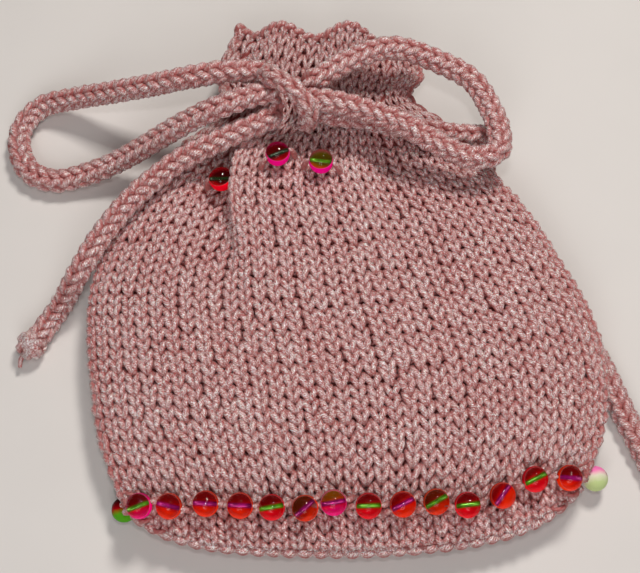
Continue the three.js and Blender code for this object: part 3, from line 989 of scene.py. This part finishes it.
class KnittedPouch:
    """The pouch: rounds of stockinette stitches, the base, the bound-off edge and the inner face."""

    mouth_way = np.array([0.0, 1.0, 0.0])
    inner_inset_mm = 4.4
    inner_steps = 48
    inner_rings = 44
    inner_shares = (1.0, 0.75, 0.5, 0.25)
    inner_drop = 0.4
    edge_samples = 12
    edge_drop = 0.1
    edge_sway = 0.35
    edge_closest = 0.3
    edge_thick = 1.15
    seam_samples = 400
    seam_shift_mm = 0.9
    seam_sway = 0.2
    seam_thick = 1.2

    def __init__(self, form: PouchForm, gauge: Gauge, sweep: YarnSweep, yarn: Any) -> None:
        """Keep the form, the gauge and the yarn."""
        self.form = form
        self.gauge = gauge
        self.sweep = sweep
        self.yarn = yarn
        self.map = KnitMap(form, gauge, gauge.wales)
        self.ruffle = KnitMap(form, gauge, gauge.ruffle_wales)

    def stitches(self, where: KnitMap, row: int, first: int, count: int) -> Strand:
        """Yarn of a run of stitches in one row.

        Args:
            where: The map of the cloth that the row is part of.
            row: Row number; its stitches stand between this row line and the next.
            first: First wale.
            count: Number of stitches.

        Returns:
            The strand, closed where it goes all the way round.
        """
        gauge = self.gauge
        turn = np.arange(count * gauge.points) / gauge.points * 2 * math.pi
        chance = np.random.default_rng(gauge.seed + 100 * row + 10000 * (first + 1)).normal(size=(3, count))
        lean, tall, raised = np.repeat(gauge.unevenness * chance, gauge.points, axis=1) * (0.5 - 0.5 * np.cos(turn))
        wale = first + turn / (2 * math.pi) + gauge.swing * np.sin(2 * turn) + gauge.nip * np.sin(turn) + 0.5 * lean
        up = row + 0.5 - gauge.reach * np.cos(turn) + tall
        front = -np.cos(2 * turn) + raised
        width = where.width(wale, up)
        thick = np.minimum(1.0, gauge.closest * width / self.sweep.radius_mm) * (1 + gauge.fullness * front)
        points = where.place(wale, up, gauge.depth_mm * front - gauge.sink_mm)
        # The way out, shortened in the hollows, sets the painted highlight and painted shade of the yarn.
        out = where.out(wale, up) * painted_light_share(front)[:, None]
        closed = count == where.wales
        kept = slice(None) if closed else slice(gauge.tuck, -gauge.tuck)
        return Strand(points[kept], thick[kept], out[kept], closed)

    def base_runs(self, row: int) -> list[Strand]:
        """Runs of stitches of a base row, which ends where the base has closed."""
        gauge = self.gauge
        middles = ((np.arange(gauge.wales) + 0.5) * self.map.columns_per_wale).astype(int)
        deep = -(row + 0.5) * gauge.row_mm
        open_here = self.map.base_length[middles] - deep > gauge.base_left * gauge.row_mm
        runs = []
        wale = 0
        while wale < gauge.wales:
            if open_here[wale]:
                last = wale
                while last < gauge.wales and open_here[last]:
                    last += 1
                runs.append(self.stitches(self.map, row, wale, last - wale))
                wale = last
            wale += 1
        return runs

    def bound_off(self, count: int, lift: float, swell: float) -> list[Strand]:
        """The bound-off edge: strands laid along the edge and crossed once in each stitch.

        Args:
            count: Number of strands.
            lift: Height of their middle above the outer face.
            swell: How far each strand goes from that middle.

        Returns:
            The closed strands.
        """
        wale = np.arange(self.ruffle.wales * self.edge_samples) / self.edge_samples
        strands = []
        for k in range(count):
            turn = 2 * math.pi * (wale / 2 + k / count)
            row = self.gauge.rows - self.edge_drop + self.edge_sway * np.sin(turn)
            place = self.ruffle.place(wale, row, lift + swell * np.cos(turn))
            thick = np.minimum(1.0, self.edge_closest * self.ruffle.width(wale, row) / self.sweep.radius_mm)
            # The edge yarn's way out is full length, so it gets the painted highlight of a top.
            out = unit(self.ruffle.out(wale, row) + self.mouth_way)
            strands.append(Strand(place, thick * self.edge_thick, out, True))
        return strands

    def base_seam(self, reach: float, pitch: float, swell: float) -> list[Strand]:
        """The line of stitches that closes the base: two strands crossed over each other along it.

        Args:
            reach: How far across the seam goes, of 1 at the corners.
            pitch: Length of one stitch along it.
            swell: How far each strand goes from the middle of the seam.

        Returns:
            The open strands.
        """
        across = np.linspace(-reach, reach, self.seam_samples)
        line = self.form.base(True, across, np.ones_like(across))
        run = running_length(line)
        strands = []
        for phase in (0.0, math.pi):
            turn = math.pi * run / pitch + phase
            sway = self.seam_shift_mm + self.seam_sway * swell * np.cos(2 * turn)
            shift = np.stack([np.zeros_like(run), sway, swell * np.sin(turn)], axis=1)
            # The seam strands' ways out follow their swing and set their painted highlight and painted shade.
            strands.append(Strand(line + shift, np.full(len(run), self.seam_thick), unit(shift * [1, -1, 1])))
        return strands

    def inner_face(self) -> Any:
        """The purl side of the cloth, one open sheet just inside the stitches.

        Returns:
            The sheet.
        """
        inset, steps = self.inner_inset_mm, self.inner_steps
        turn = np.linspace(0, math.pi, steps + 1)
        across = np.concatenate([-np.cos(turn), np.cos(turn)[1:-1]])
        front = np.arange(2 * steps) <= steps
        rings = []
        for share in self.inner_shares:
            rings.append(both_sides(self.form.base, front, across, share, inset))
        for course in np.linspace(0, self.form.mouth - self.inner_drop, self.inner_rings):
            rings.append(both_sides(self.form.body, front, across, course, inset))
        faces = ring_faces(len(rings), 2 * steps, closed=False)
        # A sheet just inside the stitches, standing for the purl side, coloured as painted shade behind the gaps.
        made = mesh_object("pouch_inner_face_painted_shade", np.concatenate(rings), faces)
        made.data.polygons.foreach_set("use_smooth", [True] * len(faces))
        made.data.materials.append(InnerFacePaintedShadeFinish().material())
        return made

    def build(self) -> list[Any]:
        """Returns:
            The pieces.
        """
        gauge = self.gauge
        lower, middle = gauge.band_rows
        bands = {
            "pouch_lower_rounds": (self.map, range(0, lower)),
            "pouch_middle_rounds": (self.map, range(lower, middle)),
            "pouch_neck_rounds": (self.map, range(middle, gauge.ruffle_row)),
            "pouch_ruffle": (self.ruffle, range(gauge.ruffle_row, gauge.rows)),
        }
        pieces = []
        base = [run for row in range(-gauge.base_rows, 0) for run in self.base_runs(row)]
        base += self.base_seam(reach=0.94, pitch=4.8, swell=1.5)
        pieces.append(self.sweep.make("pouch_base", base, self.yarn))
        for name, (where, rows) in bands.items():
            rounds = [self.stitches(where, row, 0, where.wales) for row in rows]
            pieces.append(self.sweep.make(name, rounds, self.yarn))
        edge = self.bound_off(count=2, lift=-1.7, swell=1.2)
        pieces.append(self.sweep.make("pouch_bound_off_edge", edge, self.yarn))
        inner = self.inner_face()
        for piece in [*pieces, inner]:
            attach(piece, BODY)
            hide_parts("pouch")
        return [*pieces, inner]


ROUTES: dict[str, list[list[float]]] = {
    "drawstring_neck": [
        [26, 58.8, 5.7], [20, 58.2, 4.7], [13, 57.7, 4.6], [-5, 57.2, 4.6], [-21, 57.7, 4.6], [-25, 58.2, 4.8],
        [-30, 59, 6],
    ],
    "bow_loop_left": [
        [-21, 65, 33], [-31.5, 65.5, 34], [-43, 65.6, 32], [-56.5, 67, 26], [-71, 69.8, 18], [-84, 72.7, 10.5],
        [-96.2, 73.2, 5.5], [-103.5, 66.5, 4.5], [-104.7, 58.2, 4.5], [-101.2, 49.1, 4.5], [-93, 45, 4.5],
        [-82.5, 45.5, 6], [-69.5, 47.5, 11], [-56.5, 49, 21], [-44, 50.5, 30.5], [-32, 52, 36.5], [-21.5, 55, 36],
    ],
    "bow_loop_right": [
        [-2, 60, 34], [8.5, 65.5, 34], [24.5, 70.4, 32.5], [39.5, 65, 30.3], [49.5, 58, 29.5], [53.6, 49.3, 29.9],
        [55.8, 38.2, 31], [54.4, 30.2, 31.8], [46.5, 27.8, 33], [35.5, 32.4, 35.2], [23, 40.5, 37.5], [8, 47, 38.6],
        [-2, 50.5, 37.6],
    ],
    "drawstring_tail_left": [
        [-19, 48.5, 30.5], [-28, 45.5, 30], [-36.5, 42.5, 28.8], [-46.5, 39, 27], [-56.5, 33.5, 25],
        [-66.5, 25.5, 23.5], [-75.4, 15.6, 21.8], [-83.4, 5.6, 17.8], [-89.1, 0.1, 10], [-94.2, -4.6, 5.2],
        [-98, -9.2, 4.4],
    ],
    "drawstring_tail_right": [
        [3, 49, 29.2], [13, 47, 29.2], [24, 44, 28.3], [34, 41.2, 27.6], [43, 39.8, 25.7], [50, 40, 23.4],
        [55, 40.9, 19.4], [56.8, 41.6, 14], [55, 40.8, 9], [53.8, 36, 5.5], [54.6, 28, 4.6], [57.8, 18, 4.4],
        [62, 7.5, 4.3], [66.8, -4, 4.3], [71.8, -15, 4.3], [76.5, -23, 4.3], [80.6, -30.7, 4.3], [84.3, -41.2, 4.3],
        [87.3, -52.2, 4.3], [90.7, -62.7, 4.3], [93.7, -71.2, 4.3],
    ],
}
LEADS: dict[str, tuple[list[float], list[float]]] = {
    "drawstring_neck": ([30.5, 59.2, 10.5], [-34.5, 59.6, 11]),
    "bow_loop_left": ([-15, 63.2, 31.8], [-15.5, 56.2, 34.5]),
    "bow_loop_right": ([-7.5, 59, 32.5], [-8.5, 52, 35]),
    "drawstring_tail_left": ([-13.5, 52, 30], [-100.8, -12.8, 4.6]),
    "drawstring_tail_right": ([-4.5, 52, 29.5], [95.3, -75.6, 4.6]),
}


SPAN_SAMPLES = 40
STEEP = 0.9


class FarEnd(Enum):
    """What a stretch of the drawstring ends in."""

    KNOT = "knot"
    OBJECT = "object"


def smooth_route(points: np.ndarray, step: float) -> np.ndarray:
    """Centripetal Catmull-Rom curve through points, as in the CAD source, with even steps.

    Args:
        points: The route's points.
        step: Distance between the points given back.

    Returns:
        Points along the curve.
    """
    padded = np.concatenate([[2 * points[0] - points[1]], points, [2 * points[-1] - points[-2]]])
    line = [points[:1]]
    share = np.linspace(0, 1, SPAN_SAMPLES + 1)[1:, None]
    for k in range(len(points) - 1):
        a, b, c, d = padded[k:k + 4]
        u, v, w = [max(np.linalg.norm(q - p), 1e-6) ** 0.5 for p, q in ((a, b), (b, c), (c, d))]
        start = ((b - a) / u - (c - a) / (u + v) + (c - b) / v) * v
        end = ((c - b) / v - (d - b) / (v + w) + (d - c) / w) * v
        cube, square = 2 * b - 2 * c + start + end, -3 * b + 3 * c - 2 * start - end
        line.append(b + start * share + square * share**2 + cube * share**3)
    line = np.concatenate(line)
    length = running_length(line)
    even = np.linspace(0, length[-1], max(2, round(length[-1] / step) + 1))
    return along_line(even, length, line)


def carried_frame(line: np.ndarray) -> tuple[np.ndarray, np.ndarray]:
    """Two directions across a line that turn with it and don't twist.

    Args:
        line: Points along the line.

    Returns:
        The first and second direction at each point.
    """
    along = unit(np.gradient(line, axis=0))
    first = np.zeros_like(line)
    start = np.array([0.0, 0.0, 1.0]) if abs(along[0][2]) < STEEP else np.array([1.0, 0.0, 0.0])
    for k in range(len(line)):
        start = start - along[k] * (start @ along[k])
        start = start / np.linalg.norm(start)
        first[k] = start
    return first, np.cross(along, first)


@dataclass(frozen=True)
class KnittedCord:
    """Knitted cord of a few stitches worked round: its yarn goes up in one long spiral of loops."""

    diameter_mm: float = 8.4
    wales: int = 3
    row_mm: float = 4.3
    swing: float = 0.27
    nip: float = 0.03
    reach: float = 0.8
    depth_mm: float = 0.95
    points: int = 14
    yarn_mm: float = 2.5
    fullness: float = 0.16
    end_share: float = 0.4

    def strand(self, line: np.ndarray, sweep: YarnSweep) -> Strand:
        """Yarn of a cord along a line.

        Args:
            line: Points down the middle of the cord, in millimetres, at even steps.
            sweep: The sweep that makes the yarn.

        Returns:
            The strand.
        """
        length = running_length(line)
        first, second = carried_frame(line)
        rows = length[-1] / self.row_mm - self.end_share * self.reach
        count = math.ceil(rows * self.wales)
        turn = np.arange(count * self.points) / self.points * 2 * math.pi
        wale = turn / (2 * math.pi) + self.swing * np.sin(2 * turn) + self.nip * np.sin(turn)
        front = -np.cos(2 * turn)
        run = (turn / (2 * math.pi) / self.wales - self.reach * np.cos(turn) + 0.5) * self.row_mm
        run = np.clip(run, 0, length[-1])
        yarn = self.yarn_mm / 2
        middle = self.diameter_mm / 2 - yarn - self.depth_mm
        radius = middle + self.depth_mm * front
        angle = 2 * math.pi * wale / self.wales
        centre, side, other = [along_line(run, length, values) for values in (line, first, second)]
        out = np.cos(angle)[:, None] * side + np.sin(angle)[:, None] * other
        thick = yarn / sweep.radius_mm * (1 + self.fullness * front)
        # The way out is shortened in the hollows for the painted highlight and painted shade of the cord.
        return Strand(centre + radius[:, None] * out, thick, out * painted_light_share(front)[:, None])


class Drawstring:
    """The knitted drawstring: round the neck, tied in a bow, with two free ends stopped by knots."""

    step_mm = 0.5
    wrap_route = (
        (-17.2, 63.5, 29.5), (-18.2, 62.2, 35.5), (-16.2, 59.2, 40.2), (-12.4, 55.2, 42.4), (-8.9, 51.6, 42.8),
        (-6.4, 48.3, 40.8), (-5.4, 46.0, 36.0), (-6.0, 45.8, 30.5),
    )
    end_knot_mm = 10.5
    end_knot_turns = 5
    end_knot_samples = 18
    end_knot_thick = 1.26
    end_knot_seat_mm = 1.45
    end_knot_swing = 1.3
    end_knot_lean = (0.9, 3, 0.4, 0.35)
    stub_seat_mm = 1.5
    stub_way = ((0.0, 0.0, 0.0), (2.0, 0.0, -1.0), (4.0, 1.0, -2.0))
    stub_step_mm = 0.8
    stub_thick = (0.9, 0.6)
    up = np.array([0.0, 0.0, 1.0])
    gap_mm = 0.35

    def __init__(self, cord: KnittedCord, sweep: YarnSweep, yarn: Any) -> None:
        """Keep the cord's make-up and the yarn."""
        self.cord = cord
        self.sweep = sweep
        self.yarn = yarn

    def line(self, name: str) -> np.ndarray:
        """Middle line of one stretch in millimetres, with its leads under the knot."""
        lead_in, lead_out = LEADS[name]
        return smooth_route(np.array([lead_in, *ROUTES[name], lead_out]), self.step_mm)

    def wrap(self) -> Any:
        """The strand of cord that goes over the knot, drawn tight so that it is slimmer.

        Returns:
            The piece.
        """
        tight = KnittedCord(diameter_mm=7.2, row_mm=4.8, depth_mm=0.7, yarn_mm=2.3)
        line = smooth_route(np.array(self.wrap_route), self.step_mm)
        return self.sweep.make("bow_knot_wrap", [tight.strand(line, self.sweep)], self.yarn)

    def end_knot(self, name: str, route: str) -> Any:
        """The knot that stops a free end: a few turns of yarn pulled tight, with a short end left.

        Args:
            name: The piece's name, from the CAD node that it replaces.
            route: The stretch that it stops.

        Returns:
            The piece.
        """
        last, tip = np.array(ROUTES[route][-2:])
        ahead = (tip - last) * np.array([1.0, 1.0, 0.0])
        ahead = ahead / np.linalg.norm(ahead)
        half = self.end_knot_mm / 2
        centre = tip + ahead * (half + self.gap_mm)
        centre[2] = half
        side = np.cross(self.up, ahead)
        turns = self.end_knot_turns
        turn = np.linspace(0, 2 * math.pi * turns, turns * self.end_knot_samples)
        height, waves, phase, share = self.end_knot_lean
        lean = height * np.sin(turn * waves / turns + phase)
        swing = turn / turns * self.end_knot_swing
        axis_a = ahead[None] * np.cos(swing)[:, None] + side[None] * np.sin(swing)[:, None]
        across = np.stack([-axis_a[:, 1], axis_a[:, 0], np.zeros(len(turn))], axis=1)
        ball = (half - self.end_knot_seat_mm) * unit(
            np.cos(turn)[:, None] * axis_a + np.sin(turn)[:, None] * self.up + share * lean[:, None] * across
        )
        start = centre + ahead * (half - self.stub_seat_mm)
        stub = smooth_route(start + np.array(self.stub_way) @ np.stack([ahead, side, self.up]), self.stub_step_mm)
        # Full-length ways out give the knot and its end the painted highlight of a top.
        strands = [
            Strand(centre + ball, np.full(len(ball), self.end_knot_thick), unit(ball)),
            Strand(stub, np.linspace(*self.stub_thick, len(stub)), np.tile(self.up, (len(stub), 1))),
        ]
        return self.sweep.make(name, strands, self.yarn)

    def build(self) -> list[Any]:
        """Make the drawstring's pieces and ride them.

        Returns:
            The pieces.
        """
        wrap = self.wrap()
        knots = {
            "drawstring_tail_left": ("end_knot_left", self.end_knot("end_knot_left_yarn", "drawstring_tail_left")),
            "drawstring_tail_right": ("end_knot_right", self.end_knot("end_knot_right_yarn", "drawstring_tail_right")),
        }
        self._dress(wrap, "bow_knot")
        pieces = [wrap]
        for node, knot in knots.values():
            self._dress(knot, node)
            pieces.append(knot)
        for name in ROUTES:
            line = self.line(name)
            piece = self.sweep.make(f"{name}_cord", [self.cord.strand(line, self.sweep)], self.yarn)
            self._dress(piece, name)
            pieces.append(piece)
        return pieces

    def _dress(self, piece: Any, node: str) -> None:
        """Ride a piece and let it stand for a CAD node."""
        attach(piece, BODY)
        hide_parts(node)


@dataclass(frozen=True)
class BeadLook:
    """How one bead lies and looks: coat, lining, turn of its hole, and its shifts along, up and off the cloth."""

    coat: Coat
    lining: Lining
    tilt: float = 0.0
    shift: float = 0.0
    rise: float = 0.0
    lift: float = 0.0


FRONT_BEADS = (
    BeadLook(Coat.GREEN_EDGE, Lining.DARK, 0, 0.6, 0, 1),
    BeadLook(Coat.PINK_RED, Lining.GREEN, 20, 1.3, -0.8),
    BeadLook(Coat.ORANGE_RED, Lining.MAGENTA, -12, 0, -0.8),
    BeadLook(Coat.ORANGE_RED, Lining.MAGENTA, 0, 0.9, 0.6),
    BeadLook(Coat.ORANGE_RED, Lining.MAGENTA, 0, 1, 0.3),
    BeadLook(Coat.RED, Lining.GREEN, 12, 0, 0),
    BeadLook(Coat.BROWN, Lining.MAGENTA, 42, -0.3, 0.1),
    BeadLook(Coat.OLIVE, Lining.MAGENTA, 10, -2, 2.6),
    BeadLook(Coat.RED, Lining.GREEN, 0, -2, 1),
    BeadLook(Coat.ORANGE_RED, Lining.MAGENTA, 24, -2.3, 0.8),
    BeadLook(Coat.BROWN, Lining.GREEN, 24, -2.6, 0.6),
    BeadLook(Coat.RED, Lining.GREEN, 0, -3.5, -1.8),
    BeadLook(Coat.ORANGE_RED, Lining.MAGENTA, 45, -2.9, -0.6),
    BeadLook(Coat.RED, Lining.GREEN, 15, -3.8, 3.4),
    BeadLook(Coat.ORANGE_RED, Lining.MAGENTA, -18, -2.4, 0.6),
    BeadLook(Coat.PALE, Lining.DARK, 0, -0.5, 0, 1.2),
)
BACK_LOOKS = (
    BeadLook(Coat.RED, Lining.GREEN),
    BeadLook(Coat.ORANGE_RED, Lining.MAGENTA),
    BeadLook(Coat.PINK_RED, Lining.GREEN),
)
NECK_BEADS = (
    (-0.535, 7.85, BeadLook(Coat.RED, Lining.DARK)),
    (-0.255, 8.42, BeadLook(Coat.PINK_RED, Lining.DARK, 25)),
    (0.02, 8.15, BeadLook(Coat.OLIVE, Lining.GREEN, -15)),
)


# Yarn through a bead: its places along the hole and out of the cloth, in radii of the bead, and its thickness.
CARRIER = (
    (-1.55, -1.6, 1.0), (-1.42, -0.85, 1.0), (-1.2, -0.25, 0.85), (-0.98, -0.02, 0.5), (-0.5, 0, 0.48),
    (0, 0, 0.48), (0.5, 0, 0.48), (0.98, -0.02, 0.5), (1.2, -0.25, 0.85), (1.42, -0.85, 1.0), (1.55, -1.6, 1.0),
)


@dataclass(frozen=True)
class BeadPlace:
    """Where a bead is: its CAD node, its centre, its hole's direction and the way out of the cloth."""

    node: str
    centre: np.ndarray
    axis: np.ndarray
    out: np.ndarray
    look: BeadLook


class GlassBeads:
    """The drilled glass beads of the base round and below the bow, with the yarn that carries them."""

    diameter_mm = 8.0
    hole_mm = 1.3
    gap_mm = 0.6
    base_beads = 29
    first_bead = -0.3
    seat_mm = 2.0
    round_samples = 1440
    sides = 32
    rings = 20
    lip_mm = 0.25
    lip_drop_mm = 0.1
    lip_round_mm = 0.04
    bore_rings = 5
    far_off_mm = 0.5
    course_above = 0.5
    base_below = 0.3
    across_step = 0.05
    course_step = 0.3

    def __init__(self, yarn: Any) -> None:
        """Keep the yarn and make the finishes."""
        self.yarn = yarn
        self.glass = {coat: GlassFinish(coat).material() for coat in Coat}
        self.film = {lining: LiningFinish(lining).material() for lining in Lining}

    def _place(self, node: str, point: np.ndarray, along: np.ndarray, out: np.ndarray, look: BeadLook) -> BeadPlace:
        """A bead resting on the cloth, its hole turned in the cloth's plane."""
        angle = math.radians(look.tilt)
        axis = along * math.cos(angle) + np.cross(out, along) * math.sin(angle)
        return BeadPlace(node, point + out * (self.diameter_mm / 2 + self.gap_mm), unit(axis), out, look)

    def base_places(self) -> list[BeadPlace]:
        """Places of the base round, evenly spaced along the cloth from the left edge over the front.

        Returns:
            One place for each bead.
        """
        turn = 2 * math.pi * np.arange(self.round_samples + 1) / self.round_samples
        front = turn <= math.pi
        across = -np.cos(turn)
        ring = both_sides(CAD_FORM.body, front, across, 0.0)
        length = running_length(ring)
        course_mm = COURSES[1][0] - COURSES[0][0]

        def at_length(wanted: float) -> int:
            """Number of the first sample of the round that lies so far along it."""
            return int(np.argmax(length >= wanted % length[-1]))

        places = []
        for k in range(self.base_beads):
            look = FRONT_BEADS[k] if k < len(FRONT_BEADS) else BACK_LOOKS[k % len(BACK_LOOKS)]
            course = max(look.rise, 0) / course_mm
            middle = length[-1] * (k + self.first_bead) / self.base_beads + look.shift
            before, here, after = [at_length(middle + s) for s in (-self.seat_mm, 0, self.seat_mm)]
            side, at = bool(front[here]), across[here]
            point = CAD_FORM.body(side, at, course)
            along = unit(ring[after] - ring[before])
            above = CAD_FORM.body(side, at, course + self.course_above)
            up = unit(above - CAD_FORM.base(side, at, self.base_below))
            out = unit(np.cross(along, up))
            along = unit(along - out * (along @ out))
            point = point + np.array([0, min(look.rise, 0), 0]) + out * look.lift
            places.append(self._place(f"base_bead_{k + 1:02d}", point, along, out, look))
        return places

    def neck_places(self) -> list[BeadPlace]:
        """Places of the three beads below the bow.

        Returns:
            One place for each bead.
        """
        places = []
        for k, (across, course, look) in enumerate(NECK_BEADS):
            left, right = [CAD_FORM.body(True, across + s, course) for s in (-self.across_step, self.across_step)]
            low, high = [CAD_FORM.body(True, across, course + s) for s in (-self.course_step, self.course_step)]
            along, up = unit(right - left), high - low
            out = unit(np.cross(along, up))
            point = CAD_FORM.body(True, across, course)
            places.append(self._place(f"neck_bead_{k + 1}", point, along, out, look))
        return places

    def bead(self, place: BeadPlace) -> Any:
        """One drilled bead with a rounded lip at each end of its hole.

        Args:
            place: Where it is and how it looks.

        Returns:
            The piece.
        """
        radius, hole = self.diameter_mm / 2, self.hole_mm / 2
        lip = math.asin((hole + self.lip_mm) / radius)
        polar = np.linspace(lip, math.pi - lip, self.rings)
        profile = [(radius * math.sin(a), -radius * math.cos(a)) for a in polar]
        inner = radius * math.cos(lip) - self.lip_drop_mm
        bore = [(hole, z) for z in np.linspace(inner, -inner, self.bore_rings)]
        wide, far = hole + self.lip_drop_mm, inner + self.lip_round_mm
        profile = [*profile, (wide, far), *bore, (wide, -far)]
        angle = 2 * math.pi * np.arange(self.sides) / self.sides
        up = np.cross(place.out, place.axis)
        local = np.array([[z, r * math.cos(a), r * math.sin(a)] for r, z in profile for a in angle])
        points = place.centre + local @ np.stack([place.axis, up, place.out])
        count = len(profile)
        faces = ring_faces(count, self.sides, closed=True)
        made = mesh_object(f"{place.node}_glass", points, faces)
        made.data.polygons.foreach_set("use_smooth", [True] * len(faces))
        slots = [0 if k < self.rings or k >= count - 1 else 1 for k in range(count) for _ in range(self.sides)]
        made.data.materials.append(self.glass[place.look.coat])
        made.data.materials.append(self.film[place.look.lining])
        made.data.polygons.foreach_set("material_index", slots)
        where = made.data.attributes.new("bead_place", "FLOAT_VECTOR", "POINT")
        where.data.foreach_set("vector", (local / radius).astype(np.float32).ravel())
        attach(made, BODY)
        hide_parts(place.node)
        return made

    def carrier(self, place: BeadPlace) -> Strand:
        """The yarn that carries a bead: out of the cloth, through the hole and back."""
        radius = self.diameter_mm / 2
        table = CARRIER[3:-3] if place.look.lift > 0 else CARRIER
        points = np.array([place.centre + radius * (a * place.axis + b * place.out) for a, b, _ in table])
        # The carrying yarn's way out is full length, so it gets the painted highlight of a top.
        return Strand(points, np.array([thick for _, _, thick in table]), np.tile(place.out, (len(points), 1)))

    def build(self) -> list[Any]:
        """Make the beads and the yarn through them.

        Returns:
            The pieces.
        """
        places = [*self.base_places(), *self.neck_places()]
        pieces = [self.bead(place) for place in places]
        for place in places:
            low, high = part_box(place.node)
            off = (Vector(place.centre * MM) - (low + high) / 2).length
            if off > self.far_off_mm * MM:
                log.warning("%s is %.2f mm from its node", place.node, off / MM)
        still = YarnSweep(unevenness_mm=0.0)
        yarn = still.make("bead_carrying_yarn", [self.carrier(place) for place in places], self.yarn)
        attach(yarn, BODY)
        return [*pieces, yarn]


@dataclass(frozen=True)
class Lamp:
    """A square lamp that faces the object: its name, place and side in metres, power and colour."""

    name: str
    place: tuple[float, float, float]
    size: float
    watts: float
    colour: str


@dataclass(frozen=True)
class Studio:
    """Camera at the photograph's angle, pale floor and soft lights, with a small lamp for the beads' glints."""

    lamps: tuple[Lamp, ...] = (
        Lamp("key_softbox", (0.2, 0.34, 0.72), 0.16, 3.95, "#fffaf5"),
        Lamp("fill_softbox", (-0.1, -0.6, 0.6), 0.5, 2.8, "#fcfafa"),
        Lamp("glint_lamp", (-0.01, -0.1, 0.5), 0.03, 0.3, "#ffffff"),
    )
    floor_side_mm: float = 3000.0
    sky: str = "#e9e4e3"
    sky_strength: float = 0.12
    elevation_deg: float = 70.0
    azimuth_deg: float = -5.0
    distance: float = 0.45
    target: tuple[float, float, float] = (-0.0057, 0.0004, 0.0)
    focal_px: float = 1340.0
    sensor_mm: float = 36.0
    clip: tuple[float, float] = (0.01, 20.0)
    lit_point: tuple[float, float, float] = (0.0, 0.0, 0.01)

    def camera(self) -> None:
        """Make the scene's camera."""
        data = bpy.data.cameras.new("photo_camera")
        data.sensor_width = self.sensor_mm
        data.lens = self.focal_px / PHOTO_WIDTH_PX * self.sensor_mm
        data.clip_start, data.clip_end = self.clip
        made = bpy.data.objects.new("photo_camera", data)
        a, e = math.radians(self.azimuth_deg), math.radians(self.elevation_deg)
        back = Vector((math.sin(a) * math.cos(e), -math.cos(a) * math.cos(e), math.sin(e)))
        made.location = Vector(self.target) + back * self.distance
        made.rotation_mode = "QUATERNION"
        made.rotation_quaternion = (-back).to_track_quat("-Z", "Y")
        bpy.context.scene.collection.objects.link(made)
        bpy.context.scene.camera = made

    def light(self, lamp: Lamp) -> None:
        """Add a lamp that faces the object.

        Args:
            lamp: The lamp to add.
        """
        data = bpy.data.lights.new(lamp.name, "AREA")
        data.size, data.energy = lamp.size, lamp.watts
        data.color = linear(lamp.colour)[:3]
        made = bpy.data.objects.new(lamp.name, data)
        made.location = lamp.place
        made.rotation_mode = "QUATERNION"
        made.rotation_quaternion = (Vector(self.lit_point) - Vector(lamp.place)).to_track_quat("-Z", "Y")
        bpy.context.scene.collection.objects.link(made)

    def build(self) -> None:
        """Make the floor, the lights and the sky."""
        half = self.floor_side_mm / 2
        corners = np.array([[-half, -half, 0], [half, -half, 0], [half, half, 0], [-half, half, 0]])
        floor = mesh_object("floor", corners, [(0, 1, 2, 3)])
        floor.data.materials.append(FloorFinish().material())
        for lamp in self.lamps:
            self.light(lamp)
        world = bpy.data.worlds.new("studio_sky")
        bpy.context.scene.world = world
        world.use_nodes = True
        sky = world.node_tree.nodes["Background"]
        sky.inputs["Color"].default_value = linear(self.sky)
        sky.inputs["Strength"].default_value = self.sky_strength
        view = bpy.context.scene.view_settings
        view.view_transform = "Standard"
        view.look = "None"


def main() -> None:
    """Build the scene: camera, drawstring, pouch, beads, then the studio."""
    logging.basicConfig(level=logging.INFO, format="%(name)s: %(message)s")
    studio = Studio()
    studio.camera()
    sweep = YarnSweep()
    yarn = YarnFinish().material()
    made = Drawstring(KnittedCord(), sweep, yarn).build()
    made += KnittedPouch(PouchForm(), Gauge(), sweep, yarn).build()
    made += GlassBeads(yarn).build()
    studio.build()
    for piece in made:
        piece.data.calc_loop_triangles()
        log.info("%s: %d triangles", piece.name, len(piece.data.loop_triangles))
    log.info("all pieces: %d triangles", sum(len(piece.data.loop_triangles) for piece in made))


if __name__ == "__main__":
    main()
